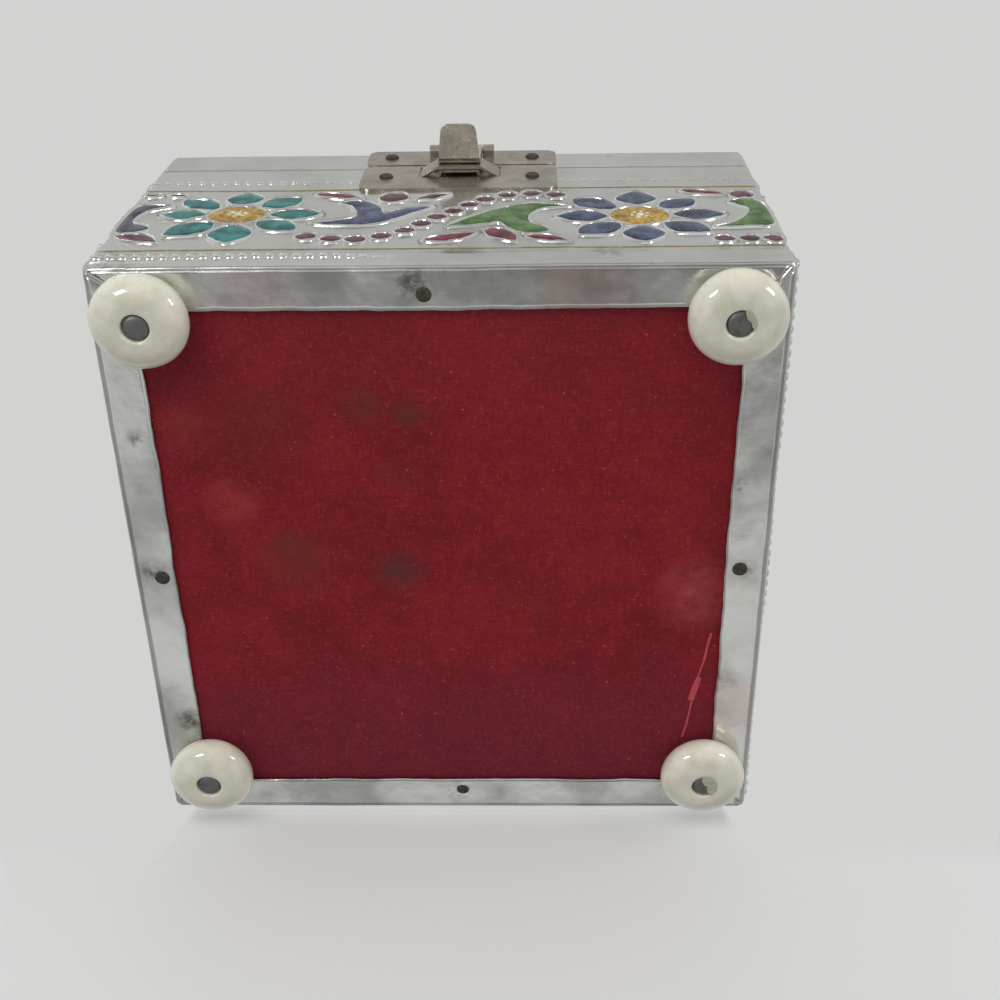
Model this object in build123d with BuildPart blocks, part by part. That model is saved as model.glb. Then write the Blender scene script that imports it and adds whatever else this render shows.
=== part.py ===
"""Enamel trinket box: a small wooden box clad in thin embossed metal sheet.

A square base and a shallow lid, both of wood, wear a folded sheet-metal skin and a cloth lining.
Two stop hinges at the back carry the lid, a pressed swing latch at the front holds it shut, and
four rondelle beads nailed to the underside are the feet. Cloth covers the underside inside the
folded border of the skin.

Units are millimetres. X runs to the right along the front, Y towards the back, Z up. The origin is
the centre of the box's footprint, latch and hinges included, at the height the feet stand on.
"""

import os
from math import cos, radians, sin, sqrt, tan

from build123d import *

# Carcass
WIDTH = 100.0
DEPTH = 100.0
BASE_HEIGHT = 47.3
LID_HEIGHT = 10.7
SEAM_GAP = 0.2
WALL = 5.0
BASE_BOARD = 5.0
LID_BOARD = 3.0
EDGE_RADIUS = 1.2
LID_EDGE_RADIUS = 3.0

# Skin and cloth
SKIN = 0.4
BORDER = 6.6
MITRE_SLIT = 0.3
FELT = 0.7
FELT_LAP = 1.5
FELT_CLEARANCE = 0.1
LINING = 0.9
LINING_CLEARANCE = 0.1

# Bead feet and their nails
FOOT_HEIGHT = 6.0
FOOT_DIAMETER = 14.2
FOOT_FLAT_RADIUS = 3.4
FOOT_TOP_RADIUS = 4.6
FOOT_BELLY = 0.45
FOOT_FACETS = 2
FOOT_HOLE_RADIUS = 1.0
FOOT_MOUTH_RADIUS = 2.2
FOOT_MOUTH_DEPTH = 0.9
FOOT_SIDE_INSET = 8.2
FOOT_FRONT_INSET = 6.9
FOOT_BACK_INSET = 9.9
FOOT_NAIL_RADIUS = 0.8
FOOT_NAIL_HEAD_RADIUS = 1.95
FOOT_NAIL_HEAD = 0.6
FOOT_NAIL_BITE = 4.2

# Common form of the nails: hammered head on a square shank
HEAD_SIDES = 8
HEAD_BEVEL_SHARE = 0.5

# Tacks that hold the folded border
TACK_HEAD_RADIUS = 1.2
TACK_HEAD = 0.35
TACK_RADIUS = 0.5
TACK_BITE = 3.5
TACK_INSET = 4.4
TACK_FRONT_SHIFT = -2.0
TACK_BACK_SHIFT = 0.9
TACK_LEFT_SHIFT = 1.7
TACK_RIGHT_SHIFT = 0.3

# Latch
LATCH_X = 1.3
LATCH_SHEET = 0.5
LATCH_WIDTH = 32.2
LATCH_CORNER = 1.8
STRIKE_HEIGHT = 12.6
STRIKE_TOP_INSET = 0.5
LID_PLATE_HEIGHT = 8.3
LID_PLATE_LIFT = 0.4
LATCH_NAIL_SPACING = 24.1
LATCH_NAIL_RADIUS = 0.55
LATCH_NAIL_HEAD_RADIUS = 1.15
LATCH_NAIL_HEAD = 0.45
LATCH_NAIL_BITE = 4.2
BRIDGE_HEIGHT = 5.2
BRIDGE_TOP_INSET = 0.9
BRIDGE_ROOT_WIDTH = 14.4
BRIDGE_CREST_WIDTH = 7.2
BRIDGE_RISE = 1.6
BRIDGE_SLIT = 0.3
BRIDGE_SHOULDER = 1.15
KEEPER_WIDTH = 6.6
KEEPER_SHEET = 0.35
KEEPER_LENGTH = 4.4
KEEPER_GAP = 0.15
PIVOT_ABOVE_SEAM = 4.9
EYE_RADIUS = 1.0
EYE_BORE_RADIUS = 0.5
EYE_CLEARANCE = 0.1
PIN_CLEARANCE = 0.05
KNUCKLE_LENGTH = 1.9
KNUCKLE_GAP = 0.15
LEVER_WIDTH = 6.9
LEVER_CREST_GAP = 0.2
LEVER_FOOT_ABOVE_BRIDGE = 0.7
LEVER_BEND_RADIUS = 0.9
TAB_LENGTH = 6.1
TAB_TIP_WIDTH = 5.8
TAB_CORNER = 1.1
TAB_DROOP = 7.0
TAB_BEND_AT = 3.9
TAB_CORNER_CUT = 0.3
TRIM_MARGIN = 1.0
DIMPLE_WIDTH = 3.2
DIMPLE_LENGTH = 2.0
DIMPLE_DEPTH = 0.2
DIMPLE_INSET = 0.6

# Stop hinges
HINGE_SPACING = 54.0
HINGE_WIDTH = 15.0
HINGE_SHEET = 0.5
HINGE_LEAF_HEIGHT = 8.2
HINGE_BARREL_RADIUS = 1.4
HINGE_BORE_RADIUS = 0.65
HINGE_PIN_CLEARANCE = 0.05
HINGE_KNUCKLE_GAP = 0.15
HINGE_CLEARANCE = 0.25
HINGE_CORNER = 1.2
HINGE_NAIL_SPACING = 8.6
HINGE_NAIL_RADIUS = 0.5
HINGE_NAIL_HEAD_RADIUS = 0.95
HINGE_NAIL_HEAD = 0.4
HINGE_NAIL_BITE = 4.2
STOP_REACH = 1.9
STOP_LUG_RADIUS = 2.3
STOP_LUG_ANGLE = 67.0

# Places worked out from the sizes above
TAB_REACH = 2 * LATCH_SHEET + BRIDGE_RISE + LEVER_CREST_GAP + TAB_LENGTH
HINGE_REACH = HINGE_BARREL_RADIUS + STOP_REACH
CENTRE_Y = (TAB_REACH - HINGE_REACH) / 2
FRONT_Y = CENTRE_Y - DEPTH / 2
BACK_Y = CENTRE_Y + DEPTH / 2
BOTTOM_Z = FOOT_HEIGHT
SEAM_Z = BOTTOM_Z + BASE_HEIGHT
BASE_TOP_Z = SEAM_Z - SEAM_GAP / 2
LID_BOTTOM_Z = SEAM_Z + SEAM_GAP / 2
LID_TOP_Z = SEAM_Z + LID_HEIGHT
FLOOR_Z = BOTTOM_Z + SKIN + BASE_BOARD
LID_CEILING_Z = LID_TOP_Z - SKIN - LID_BOARD
WOOD_WIDTH = WIDTH - 2 * SKIN
WOOD_DEPTH = DEPTH - 2 * SKIN
INSIDE_WIDTH = WOOD_WIDTH - 2 * WALL
INSIDE_DEPTH = WOOD_DEPTH - 2 * WALL
CENTRE = (0, CENTRE_Y)


def save(builder, name):
    """Label a finished sub-part and write it to its own file."""
    builder.part.label = name
    export_step(builder.part, f"parts/{name}.step")


def block(width, depth, low, high, centre=CENTRE):
    """Extrude a plain rectangle between two heights in the active part."""
    with BuildSketch(Plane.XY.offset(low)) as outline:
        with Locations(centre):
            Rectangle(width, depth)
    extrude(outline.sketch, amount=high - low)


def round_upright(builder, radius):
    """Round the upright edges of a block."""
    fillet(builder.edges().filter_by(Axis.Z), radius)


def nail_hole(shank_radius):
    """Square punched hole that clears a nail's shank."""
    side = sqrt(2) * shank_radius + 2 * PIN_CLEARANCE
    Rectangle(side, side, mode=Mode.SUBTRACT)


def nails(points, direction, head_radius, head, shank_radius, bite, name):
    """Write a group of like nails, each with its head's underside at a point of the list."""
    side = sqrt(2) * shank_radius
    with BuildPart() as group:
        for point in points:
            seat = Plane(origin=point, x_dir=(1, 0, 0), z_dir=direction)
            with BuildSketch(seat) as flat:
                RegularPolygon(head_radius, HEAD_SIDES)
            extrude(flat.sketch, amount=head)
            with BuildSketch(seat) as square:
                Rectangle(side, side)
            extrude(square.sketch, amount=-bite)
        along = Axis(points[0], direction)
        chamfer(group.faces().filter_by(along).group_by(along)[-1].edges(), head * HEAD_BEVEL_SHARE)
    save(group, name)


def base_board():
    """Bottom board, with the shallow recess that the underside cloth lies in."""
    with BuildPart() as board:
        block(WOOD_WIDTH, WOOD_DEPTH, BOTTOM_Z + SKIN, FLOOR_Z)
        round_upright(board, EDGE_RADIUS - SKIN)
        with BuildSketch(Plane.XY.offset(BOTTOM_Z + SKIN)):
            with Locations(CENTRE):
                lap = 2 * (BORDER - FELT_LAP) - 2 * FELT_CLEARANCE
                Rectangle(WIDTH - lap, DEPTH - lap)
        extrude(amount=FELT, mode=Mode.SUBTRACT)
    save(board, "base_board")


def ring_walls(low, high, prefix):
    """Four butted walls: front and back run the full width, the sides stand between them."""
    offset_y = (WOOD_DEPTH - WALL) / 2
    offset_x = (WOOD_WIDTH - WALL) / 2
    for side, sign in (("front", -1), ("back", 1)):
        with BuildPart() as long_wall:
            block(WOOD_WIDTH, WALL, low, high, (0, CENTRE_Y + sign * offset_y))
            outer = long_wall.edges().filter_by(Axis.Z).group_by(Axis.Y)[0 if sign < 0 else -1]
            fillet(outer, EDGE_RADIUS - SKIN)
        save(long_wall, f"{prefix}_{side}")
    for side, sign in (("left", -1), ("right", 1)):
        with BuildPart() as short_wall:
            block(WALL, INSIDE_DEPTH, low, high, (sign * offset_x, CENTRE_Y))
        save(short_wall, f"{prefix}_{side}")


def base_cladding():
    """Sheet skin of the base, folded under as a mitred border and over the rim at the top."""
    with BuildPart() as skin:
        block(WIDTH, DEPTH, BOTTOM_Z, BASE_TOP_Z)
        round_upright(skin, EDGE_RADIUS)
        with BuildSketch(Plane.XY.offset(BOTTOM_Z + SKIN)):
            with Locations(CENTRE):
                RectangleRounded(WOOD_WIDTH, WOOD_DEPTH, EDGE_RADIUS - SKIN)
        extrude(amount=BASE_TOP_Z - BOTTOM_Z - 2 * SKIN, mode=Mode.SUBTRACT)
        with BuildSketch(Plane.XY.offset(BOTTOM_Z)):
            with Locations(CENTRE):
                Rectangle(WIDTH - 2 * BORDER, DEPTH - 2 * BORDER)
        extrude(amount=SKIN, mode=Mode.SUBTRACT)
        with BuildSketch(Plane.XY.offset(BASE_TOP_Z - SKIN)):
            with Locations(CENTRE):
                Rectangle(INSIDE_WIDTH, INSIDE_DEPTH)
        extrude(amount=SKIN, mode=Mode.SUBTRACT)
        reach = BORDER - EDGE_RADIUS
        with BuildSketch(Plane.XY.offset(BOTTOM_Z)):
            for corner_x in (-1, 1):
                for corner_y in (-1, 1):
                    middle_x = corner_x * (WIDTH / 2 - EDGE_RADIUS - reach / 2)
                    middle_y = CENTRE_Y + corner_y * (DEPTH / 2 - EDGE_RADIUS - reach / 2)
                    with Locations((middle_x, middle_y)):
                        Rectangle(reach * 1.5, MITRE_SLIT, rotation=45 * corner_x * corner_y)
        extrude(amount=SKIN, mode=Mode.SUBTRACT)
    save(skin, "base_cladding")


def underside_felt():
    """Cloth panel of the underside, its rim held under the folded border."""
    lap = 2 * (BORDER - FELT_LAP)
    with BuildPart() as felt:
        block(WIDTH - lap, DEPTH - lap, BOTTOM_Z + SKIN, BOTTOM_Z + SKIN + FELT)
    save(felt, "underside_felt")


def lining(floor_name, wall_prefix, floor_low, floor_high, wall_low, wall_high):
    """Cloth on the floor or ceiling of a tray and on its four inner walls."""
    span_x = INSIDE_WIDTH - 2 * LINING_CLEARANCE
    span_y = INSIDE_DEPTH - 2 * LINING_CLEARANCE
    with BuildPart() as panel:
        block(span_x, span_y, floor_low, floor_high)
    save(panel, floor_name)
    for side, sign in (("front", -1), ("back", 1)):
        with BuildPart() as strip:
            block(span_x, LINING, wall_low, wall_high, (0, CENTRE_Y + sign * (span_y - LINING) / 2))
        save(strip, f"{wall_prefix}_{side}")
    for side, sign in (("left", -1), ("right", 1)):
        with BuildPart() as strip:
            short = span_y - 2 * LINING - 2 * LINING_CLEARANCE
            block(LINING, short, wall_low, wall_high, (sign * (span_x - LINING) / 2, CENTRE_Y))
        save(strip, f"{wall_prefix}_{side}")


def foot_places():
    """Name and centre of each bead foot."""
    places = []
    for end, y in (("front", FRONT_Y + FOOT_FRONT_INSET), ("back", BACK_Y - FOOT_BACK_INSET)):
        for side, sign in (("left", -1), ("right", 1)):
            places.append((f"foot_{end}_{side}", sign * (WIDTH / 2 - FOOT_SIDE_INSET), y))
    return places


def foot_profile():
    """Half section of a bead as (radius, height): two bulging quarters, the mouth and the hole."""
    radius = FOOT_DIAMETER / 2
    belly = FOOT_HEIGHT * FOOT_BELLY
    outline = [(FOOT_HOLE_RADIUS, FOOT_HEIGHT)]
    for step in range(FOOT_FACETS + 1):
        turn = radians(90 * step / FOOT_FACETS)
        outline.append((FOOT_TOP_RADIUS + (radius - FOOT_TOP_RADIUS) * sin(turn),
                        belly + (FOOT_HEIGHT - belly) * cos(turn)))
    for step in range(1, FOOT_FACETS + 1):
        turn = radians(90 * step / FOOT_FACETS)
        outline.append((FOOT_FLAT_RADIUS + (radius - FOOT_FLAT_RADIUS) * cos(turn),
                        belly - belly * sin(turn)))
    outline += [(FOOT_MOUTH_RADIUS, 0), (FOOT_MOUTH_RADIUS, FOOT_MOUTH_DEPTH),
                (FOOT_HOLE_RADIUS, FOOT_MOUTH_DEPTH)]
    return outline


def feet():
    """Rondelle beads: bulging sides, a narrow flat to stand on and a mouth for the nail head."""
    for name, x, y in foot_places():
        with BuildPart() as bead:
            with BuildSketch(Plane.XZ.offset(-y)):
                with BuildLine():
                    Polyline([(x + r, z) for r, z in foot_profile()], close=True)
                make_face()
            revolve(axis=Axis((x, y, 0), (0, 0, 1)))
        save(bead, name)


def foot_nails():
    """One nail through each bead into the bottom board."""
    points = [(x, y, FOOT_MOUTH_DEPTH) for _, x, y in foot_places()]
    length = FOOT_HEIGHT + SKIN + FOOT_NAIL_BITE - FOOT_MOUTH_DEPTH
    nails(points, (0, 0, -1), FOOT_NAIL_HEAD_RADIUS, FOOT_NAIL_HEAD, FOOT_NAIL_RADIUS, length,
          "foot_nails")


def border_tacks():
    """Four small tacks, one at the middle of each side of the folded border."""
    reach_x = WIDTH / 2 - TACK_INSET
    reach_y = DEPTH / 2 - TACK_INSET
    points = [
        (TACK_FRONT_SHIFT, CENTRE_Y - reach_y, BOTTOM_Z),
        (TACK_BACK_SHIFT, CENTRE_Y + reach_y, BOTTOM_Z),
        (-reach_x, CENTRE_Y + TACK_LEFT_SHIFT, BOTTOM_Z),
        (reach_x, CENTRE_Y + TACK_RIGHT_SHIFT, BOTTOM_Z),
    ]
    nails(points, (0, 0, -1), TACK_HEAD_RADIUS, TACK_HEAD, TACK_RADIUS, TACK_BITE + SKIN,
          "border_tacks")


def bridge_profile(rise, thickness):
    """Outline of the lanced bridge seen from above, as a band that keeps its thickness."""
    root = BRIDGE_ROOT_WIDTH / 2
    crest = BRIDGE_CREST_WIDTH / 2
    outer = [(-root, 0), (-crest, -rise), (crest, -rise), (root, 0)]
    shoulder = thickness * BRIDGE_SHOULDER
    inner = [(root - shoulder, 0), (crest - shoulder / 4, thickness - rise)]
    inner += [(-crest + shoulder / 4, thickness - rise), (-root + shoulder, 0)]
    return outer + inner


def strike_plate():
    """Strike: a flat plate whose bridge is slit along both edges and pressed out."""
    top = SEAM_Z - STRIKE_TOP_INSET
    centre_z = top - STRIKE_HEIGHT / 2
    bridge_top = top - BRIDGE_TOP_INSET
    face_y = FRONT_Y - LATCH_SHEET
    with BuildPart() as strike:
        with BuildSketch(Plane.XZ.offset(-FRONT_Y)) as outline:
            with Locations((LATCH_X, centre_z)):
                Rectangle(LATCH_WIDTH, STRIKE_HEIGHT)
            fillet(outline.vertices(), LATCH_CORNER)
            with Locations((LATCH_X, bridge_top - BRIDGE_HEIGHT / 2)):
                Rectangle(BRIDGE_ROOT_WIDTH - 2 * LATCH_SHEET, BRIDGE_HEIGHT + 2 * BRIDGE_SLIT,
                          mode=Mode.SUBTRACT)
            with Locations((LATCH_X, centre_z)):
                with GridLocations(LATCH_NAIL_SPACING, 0, 2, 1):
                    nail_hole(LATCH_NAIL_RADIUS)
        extrude(amount=LATCH_SHEET)
        with BuildSketch(Plane.XY.offset(bridge_top - BRIDGE_HEIGHT)):
            with BuildLine():
                points = bridge_profile(BRIDGE_RISE + LATCH_SHEET, LATCH_SHEET)
                Polyline([(LATCH_X + x, face_y + LATCH_SHEET + y) for x, y in points], close=True)
            make_face()
        extrude(amount=BRIDGE_HEIGHT)
    save(strike, "strike_plate")


def catch_clip():
    """Small folded keeper inside the bridge, the bright piece seen in the bridge's mouth."""
    top = SEAM_Z - STRIKE_TOP_INSET - BRIDGE_TOP_INSET
    low = top - BRIDGE_HEIGHT + KEEPER_GAP
    back_y = FRONT_Y - KEEPER_GAP
    crest_y = FRONT_Y - BRIDGE_RISE + KEEPER_GAP
    half = KEEPER_WIDTH / 2
    sheet = KEEPER_SHEET
    with BuildPart() as clip:
        with BuildSketch(Plane.XY.offset(low)):
            with BuildLine():
                Polyline(
                    (LATCH_X - half, back_y),
                    (LATCH_X - half, crest_y),
                    (LATCH_X + half, crest_y),
                    (LATCH_X + half, back_y),
                    (LATCH_X + half - sheet, back_y),
                    (LATCH_X + half - sheet, crest_y + sheet),
                    (LATCH_X - half + sheet, crest_y + sheet),
                    (LATCH_X - half + sheet, back_y),
                    close=True,
                )
            make_face()
        extrude(amount=KEEPER_LENGTH)
    save(clip, "catch_clip")


def latch_pin_axis():
    """Height and depth of the latch's pivot."""
    return FRONT_Y - LATCH_SHEET - EYE_CLEARANCE - EYE_RADIUS, SEAM_Z + PIVOT_ABOVE_SEAM


def knuckle(x_low, x_high, y, z, radius, bore, back_y):
    """Rolled knuckle in the active part, with the neck that joins it to its plate."""
    with BuildSketch(Plane.YZ.offset(x_low)) as section:
        with Locations((y, z)):
            Circle(radius)
        with Locations(((y + back_y) / 2, z)):
            Rectangle(abs(back_y - y), 2 * radius)
        with Locations((y, z)):
            Circle(bore, mode=Mode.SUBTRACT)
    extrude(section.sketch, amount=x_high - x_low)


def latch_plate():
    """Lid half of the latch: a flat plate with two knuckles pressed out of it."""
    low = SEAM_Z + LID_PLATE_LIFT
    centre_z = low + LID_PLATE_HEIGHT / 2
    pin_y, pin_z = latch_pin_axis()
    eye = LEVER_WIDTH / 2
    inner = eye + KNUCKLE_GAP
    outer = inner + KNUCKLE_LENGTH
    with BuildPart() as plate:
        with BuildSketch(Plane.XZ.offset(-FRONT_Y)) as outline:
            with Locations((LATCH_X, centre_z)):
                Rectangle(LATCH_WIDTH, LID_PLATE_HEIGHT)
            fillet(outline.vertices(), LATCH_CORNER)
            with Locations((LATCH_X, centre_z)):
                with GridLocations(LATCH_NAIL_SPACING, 0, 2, 1):
                    nail_hole(LATCH_NAIL_RADIUS)
        extrude(amount=LATCH_SHEET)
        for x_low, x_high in ((-outer, -inner), (inner, outer)):
            knuckle(LATCH_X + x_low, LATCH_X + x_high, pin_y, pin_z, EYE_RADIUS,
                    EYE_BORE_RADIUS, FRONT_Y - LATCH_SHEET)
    save(plate, "latch_plate")


def latch_pin():
    """Pin that runs through the knuckles and the lever's eye."""
    pin_y, pin_z = latch_pin_axis()
    half = LEVER_WIDTH / 2 + KNUCKLE_GAP + KNUCKLE_LENGTH
    with BuildPart() as pin:
        with BuildSketch(Plane.YZ.offset(LATCH_X - half)):
            with Locations((pin_y, pin_z)):
                Circle(EYE_BORE_RADIUS - PIN_CLEARANCE)
        extrude(amount=2 * half)
    save(pin, "latch_pin")


def trim_tab(root_y, tip_y, low, high):
    """Taper the finger tab of the active part and round off the corners of its tip."""
    taper = (LEVER_WIDTH - TAB_TIP_WIDTH) / 2
    cut = TAB_CORNER * TAB_CORNER_CUT
    with BuildSketch(Plane.XY.offset(low)) as trim:
        for sign in (-1, 1):
            edge = LATCH_X + sign * LEVER_WIDTH / 2
            with BuildLine():
                Polyline(
                    (edge, root_y),
                    (edge - sign * taper, tip_y + TAB_CORNER),
                    (edge - sign * (taper + cut), tip_y + cut),
                    (edge - sign * (taper + TAB_CORNER), tip_y),
                    (edge - sign * (taper + TAB_CORNER), tip_y - TRIM_MARGIN),
                    (edge + sign * TRIM_MARGIN, tip_y - TRIM_MARGIN),
                    (edge + sign * TRIM_MARGIN, root_y),
                    close=True,
                )
            make_face()
    extrude(trim.sketch, amount=high - low, mode=Mode.SUBTRACT)


def press_dimple(root_y, low):
    """Stiffening dimple of the tab: a triangular hollow in its lower face, raised on its upper."""
    corners = [(LATCH_X - DIMPLE_WIDTH / 2, root_y), (LATCH_X + DIMPLE_WIDTH / 2, root_y),
               (LATCH_X, root_y - DIMPLE_LENGTH)]
    for height, mode in ((low, Mode.SUBTRACT), (low + LATCH_SHEET, Mode.ADD)):
        with BuildSketch(Plane.XY.offset(height)) as mark:
            with BuildLine():
                Polyline(*corners, close=True)
            make_face()
        extrude(mark.sketch, amount=DIMPLE_DEPTH, mode=mode)


def latch_lever():
    """Swinging lever: rolled eye, a blade that lies over the bridge and an outturned finger tab."""
    pin_y, pin_z = latch_pin_axis()
    sheet = LATCH_SHEET
    blade_in = FRONT_Y - sheet - BRIDGE_RISE - LEVER_CREST_GAP
    blade_out = blade_in - sheet
    bridge_top = SEAM_Z - STRIKE_TOP_INSET - BRIDGE_TOP_INSET
    foot_z = bridge_top - BRIDGE_HEIGHT + LEVER_FOOT_ABOVE_BRIDGE
    bend = LEVER_BEND_RADIUS
    droop = radians(TAB_DROOP)
    tip_run = TAB_LENGTH - TAB_BEND_AT
    knee_y = blade_out - TAB_BEND_AT
    tip_y = blade_out - TAB_LENGTH
    tip_drop = tip_run * tan(droop)
    with BuildPart() as lever:
        with BuildSketch(Plane.YZ.offset(LATCH_X - LEVER_WIDTH / 2)):
            with BuildLine():
                Polyline(
                    (pin_y - EYE_RADIUS + sheet, pin_z),
                    (pin_y - EYE_RADIUS, pin_z),
                    (blade_out, pin_z - 3 * EYE_RADIUS),
                    (blade_out, foot_z + bend),
                )
                RadiusArc((blade_out, foot_z + bend), (blade_out - bend + sheet, foot_z + sheet),
                          sheet - bend)
                Polyline(
                    (blade_out - bend + sheet, foot_z + sheet),
                    (knee_y, foot_z + sheet),
                    (tip_y, foot_z + sheet - tip_drop),
                    (tip_y, foot_z - tip_drop),
                    (knee_y, foot_z),
                    (blade_out - bend + sheet, foot_z),
                )
                RadiusArc((blade_out - bend + sheet, foot_z), (blade_in, foot_z + bend), bend)
                Polyline(
                    (blade_in, foot_z + bend),
                    (blade_in, pin_z - 3 * EYE_RADIUS),
                    (pin_y - EYE_RADIUS + sheet, pin_z),
                )
            make_face()
        extrude(amount=LEVER_WIDTH)
        trim_tab(blade_out, tip_y, foot_z - tip_drop - TRIM_MARGIN, foot_z + sheet + TRIM_MARGIN)
        press_dimple(blade_out - DIMPLE_INSET, foot_z)
        with BuildSketch(Plane.YZ.offset(LATCH_X - LEVER_WIDTH / 2)):
            with Locations((pin_y, pin_z)):
                Circle(EYE_RADIUS)
        extrude(amount=LEVER_WIDTH)
        with BuildSketch(Plane.YZ.offset(LATCH_X - LEVER_WIDTH / 2)):
            with Locations((pin_y, pin_z)):
                Circle(EYE_BORE_RADIUS)
        extrude(amount=LEVER_WIDTH, mode=Mode.SUBTRACT)
    save(lever, "latch_lever")


def latch_nails():
    """Two nails through each half of the latch."""
    y = FRONT_Y - LATCH_SHEET
    strike_z = SEAM_Z - STRIKE_TOP_INSET - STRIKE_HEIGHT / 2
    plate_z = SEAM_Z + LID_PLATE_LIFT + LID_PLATE_HEIGHT / 2
    for name, z in (("strike_nails", strike_z), ("latch_plate_nails", plate_z)):
        points = [(LATCH_X + sign * LATCH_NAIL_SPACING / 2, y, z) for sign in (-1, 1)]
        nails(points, (0, -1, 0), LATCH_NAIL_HEAD_RADIUS, LATCH_NAIL_HEAD, LATCH_NAIL_RADIUS,
              LATCH_SHEET + LATCH_NAIL_BITE, name)


def hinge_axis():
    """Depth and height of the lid's hinge axis."""
    return BACK_Y + HINGE_BARREL_RADIUS, SEAM_Z


def hinge_leaf(x, direction, knuckle_spans, cut_spans, name):
    """One pressed leaf with its knuckles; direction is +1 for the lid's leaf, -1 for the base's."""
    axis_y, axis_z = hinge_axis()
    far_z = axis_z + direction * (HINGE_BARREL_RADIUS + HINGE_LEAF_HEIGHT)
    cut_z = axis_z + direction * (HINGE_BARREL_RADIUS + HINGE_CLEARANCE)
    nail_z = (far_z + cut_z) / 2
    with BuildPart() as leaf:
        with BuildSketch(Plane.XZ.offset(-BACK_Y)):
            with Locations((x, (axis_z + far_z) / 2)):
                Rectangle(HINGE_WIDTH, abs(far_z - axis_z))
            for low, high in cut_spans:
                with Locations((x + (low + high) / 2, (axis_z + cut_z) / 2)):
                    Rectangle(high - low, abs(cut_z - axis_z), mode=Mode.SUBTRACT)
            with Locations((x, nail_z)):
                with GridLocations(HINGE_NAIL_SPACING, 0, 2, 1):
                    nail_hole(HINGE_NAIL_RADIUS)
        extrude(amount=-HINGE_SHEET)
        ends = leaf.edges().filter_by(Axis.Y).group_by(Axis.Z)
        fillet(ends[-1 if direction > 0 else 0], HINGE_CORNER)
        for low, high in knuckle_spans:
            with BuildSketch(Plane.YZ.offset(x + low)):
                with Locations((axis_y, axis_z)):
                    Circle(HINGE_BARREL_RADIUS)
                    Circle(HINGE_BORE_RADIUS, mode=Mode.SUBTRACT)
            extrude(amount=high - low)
        low, high = cut_spans[0] if direction < 0 else knuckle_spans[0]
        stop_lug(x, low, high, direction)
    save(leaf, name)


def stop_lug(x, low, high, direction):
    """Stop: a tongue under the lid's knuckle on the base leaf, a fin on the knuckle itself."""
    axis_y, axis_z = hinge_axis()
    if direction < 0:
        top = axis_z - HINGE_BARREL_RADIUS - HINGE_CLEARANCE
        with BuildSketch(Plane.YZ.offset(x + low)) as tongue:
            with Locations(((BACK_Y + axis_y + STOP_REACH) / 2, top - HINGE_SHEET / 2)):
                Rectangle(axis_y + STOP_REACH - BACK_Y, HINGE_SHEET)
        extrude(tongue.sketch, amount=high - low)
    else:
        middle = (HINGE_BORE_RADIUS + HINGE_BARREL_RADIUS) / 2
        reach = (middle + STOP_LUG_RADIUS) / 2
        angle = radians(STOP_LUG_ANGLE)
        with BuildSketch(Plane.YZ.offset(x + low)) as fin:
            with Locations((axis_y + reach * cos(angle), axis_z + reach * sin(angle))):
                Rectangle(STOP_LUG_RADIUS - middle, HINGE_SHEET, rotation=STOP_LUG_ANGLE)
        extrude(fin.sketch, amount=high - low)


def hinges():
    """Two stop hinges: base leaf with the outer knuckles, lid leaf with the middle one, and pin."""
    axis_y, axis_z = hinge_axis()
    half = HINGE_WIDTH / 2
    third = HINGE_WIDTH / 6
    gap = HINGE_KNUCKLE_GAP / 2
    outer = [(-half, -third - gap), (third + gap, half)]
    middle = [(-third + gap, third - gap)]
    outer_cut = [(-half, -third + gap), (third - gap, half)]
    middle_cut = [(-third - gap, third + gap)]
    for side, sign in (("left", -1), ("right", 1)):
        x = sign * HINGE_SPACING / 2
        hinge_leaf(x, -1, outer, middle_cut, f"hinge_base_leaf_{side}")
        hinge_leaf(x, 1, middle, outer_cut, f"hinge_lid_leaf_{side}")
        with BuildPart() as pin:
            with BuildSketch(Plane.YZ.offset(x - half)):
                with Locations((axis_y, axis_z)):
                    Circle(HINGE_BORE_RADIUS - HINGE_PIN_CLEARANCE)
            extrude(amount=HINGE_WIDTH)
        save(pin, f"hinge_pin_{side}")
    reach = HINGE_BARREL_RADIUS + (HINGE_LEAF_HEIGHT + HINGE_CLEARANCE) / 2
    for name, direction in (("hinge_base_nails", -1), ("hinge_lid_nails", 1)):
        points = []
        for sign in (-1, 1):
            for nail in (-1, 1):
                x = sign * HINGE_SPACING / 2 + nail * HINGE_NAIL_SPACING / 2
                points.append((x, BACK_Y + HINGE_SHEET, axis_z + direction * reach))
        nails(points, (0, 1, 0), HINGE_NAIL_HEAD_RADIUS, HINGE_NAIL_HEAD, HINGE_NAIL_RADIUS,
              HINGE_SHEET + HINGE_NAIL_BITE, name)


def bevelled_block(low, high):
    """Block that fills the skin in plan, its upper edges bevelled to touch the rounded skin."""
    block(WOOD_WIDTH, WOOD_DEPTH, low, high)
    edge_radius = LID_EDGE_RADIUS - SKIN
    chamfer(faces().sort_by(Axis.Z)[-1].edges(), (2 - sqrt(2)) * edge_radius)
    with BuildSketch(Plane.XY.offset(low)) as plan:
        with Locations(CENTRE):
            RectangleRounded(WOOD_WIDTH, WOOD_DEPTH, EDGE_RADIUS - SKIN)
    extrude(plan.sketch, amount=high - low, mode=Mode.INTERSECT)


def lid_board():
    """Top board of the lid."""
    with BuildPart() as board:
        bevelled_block(LID_CEILING_Z, LID_TOP_Z - SKIN)
    save(board, "lid_board")


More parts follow.
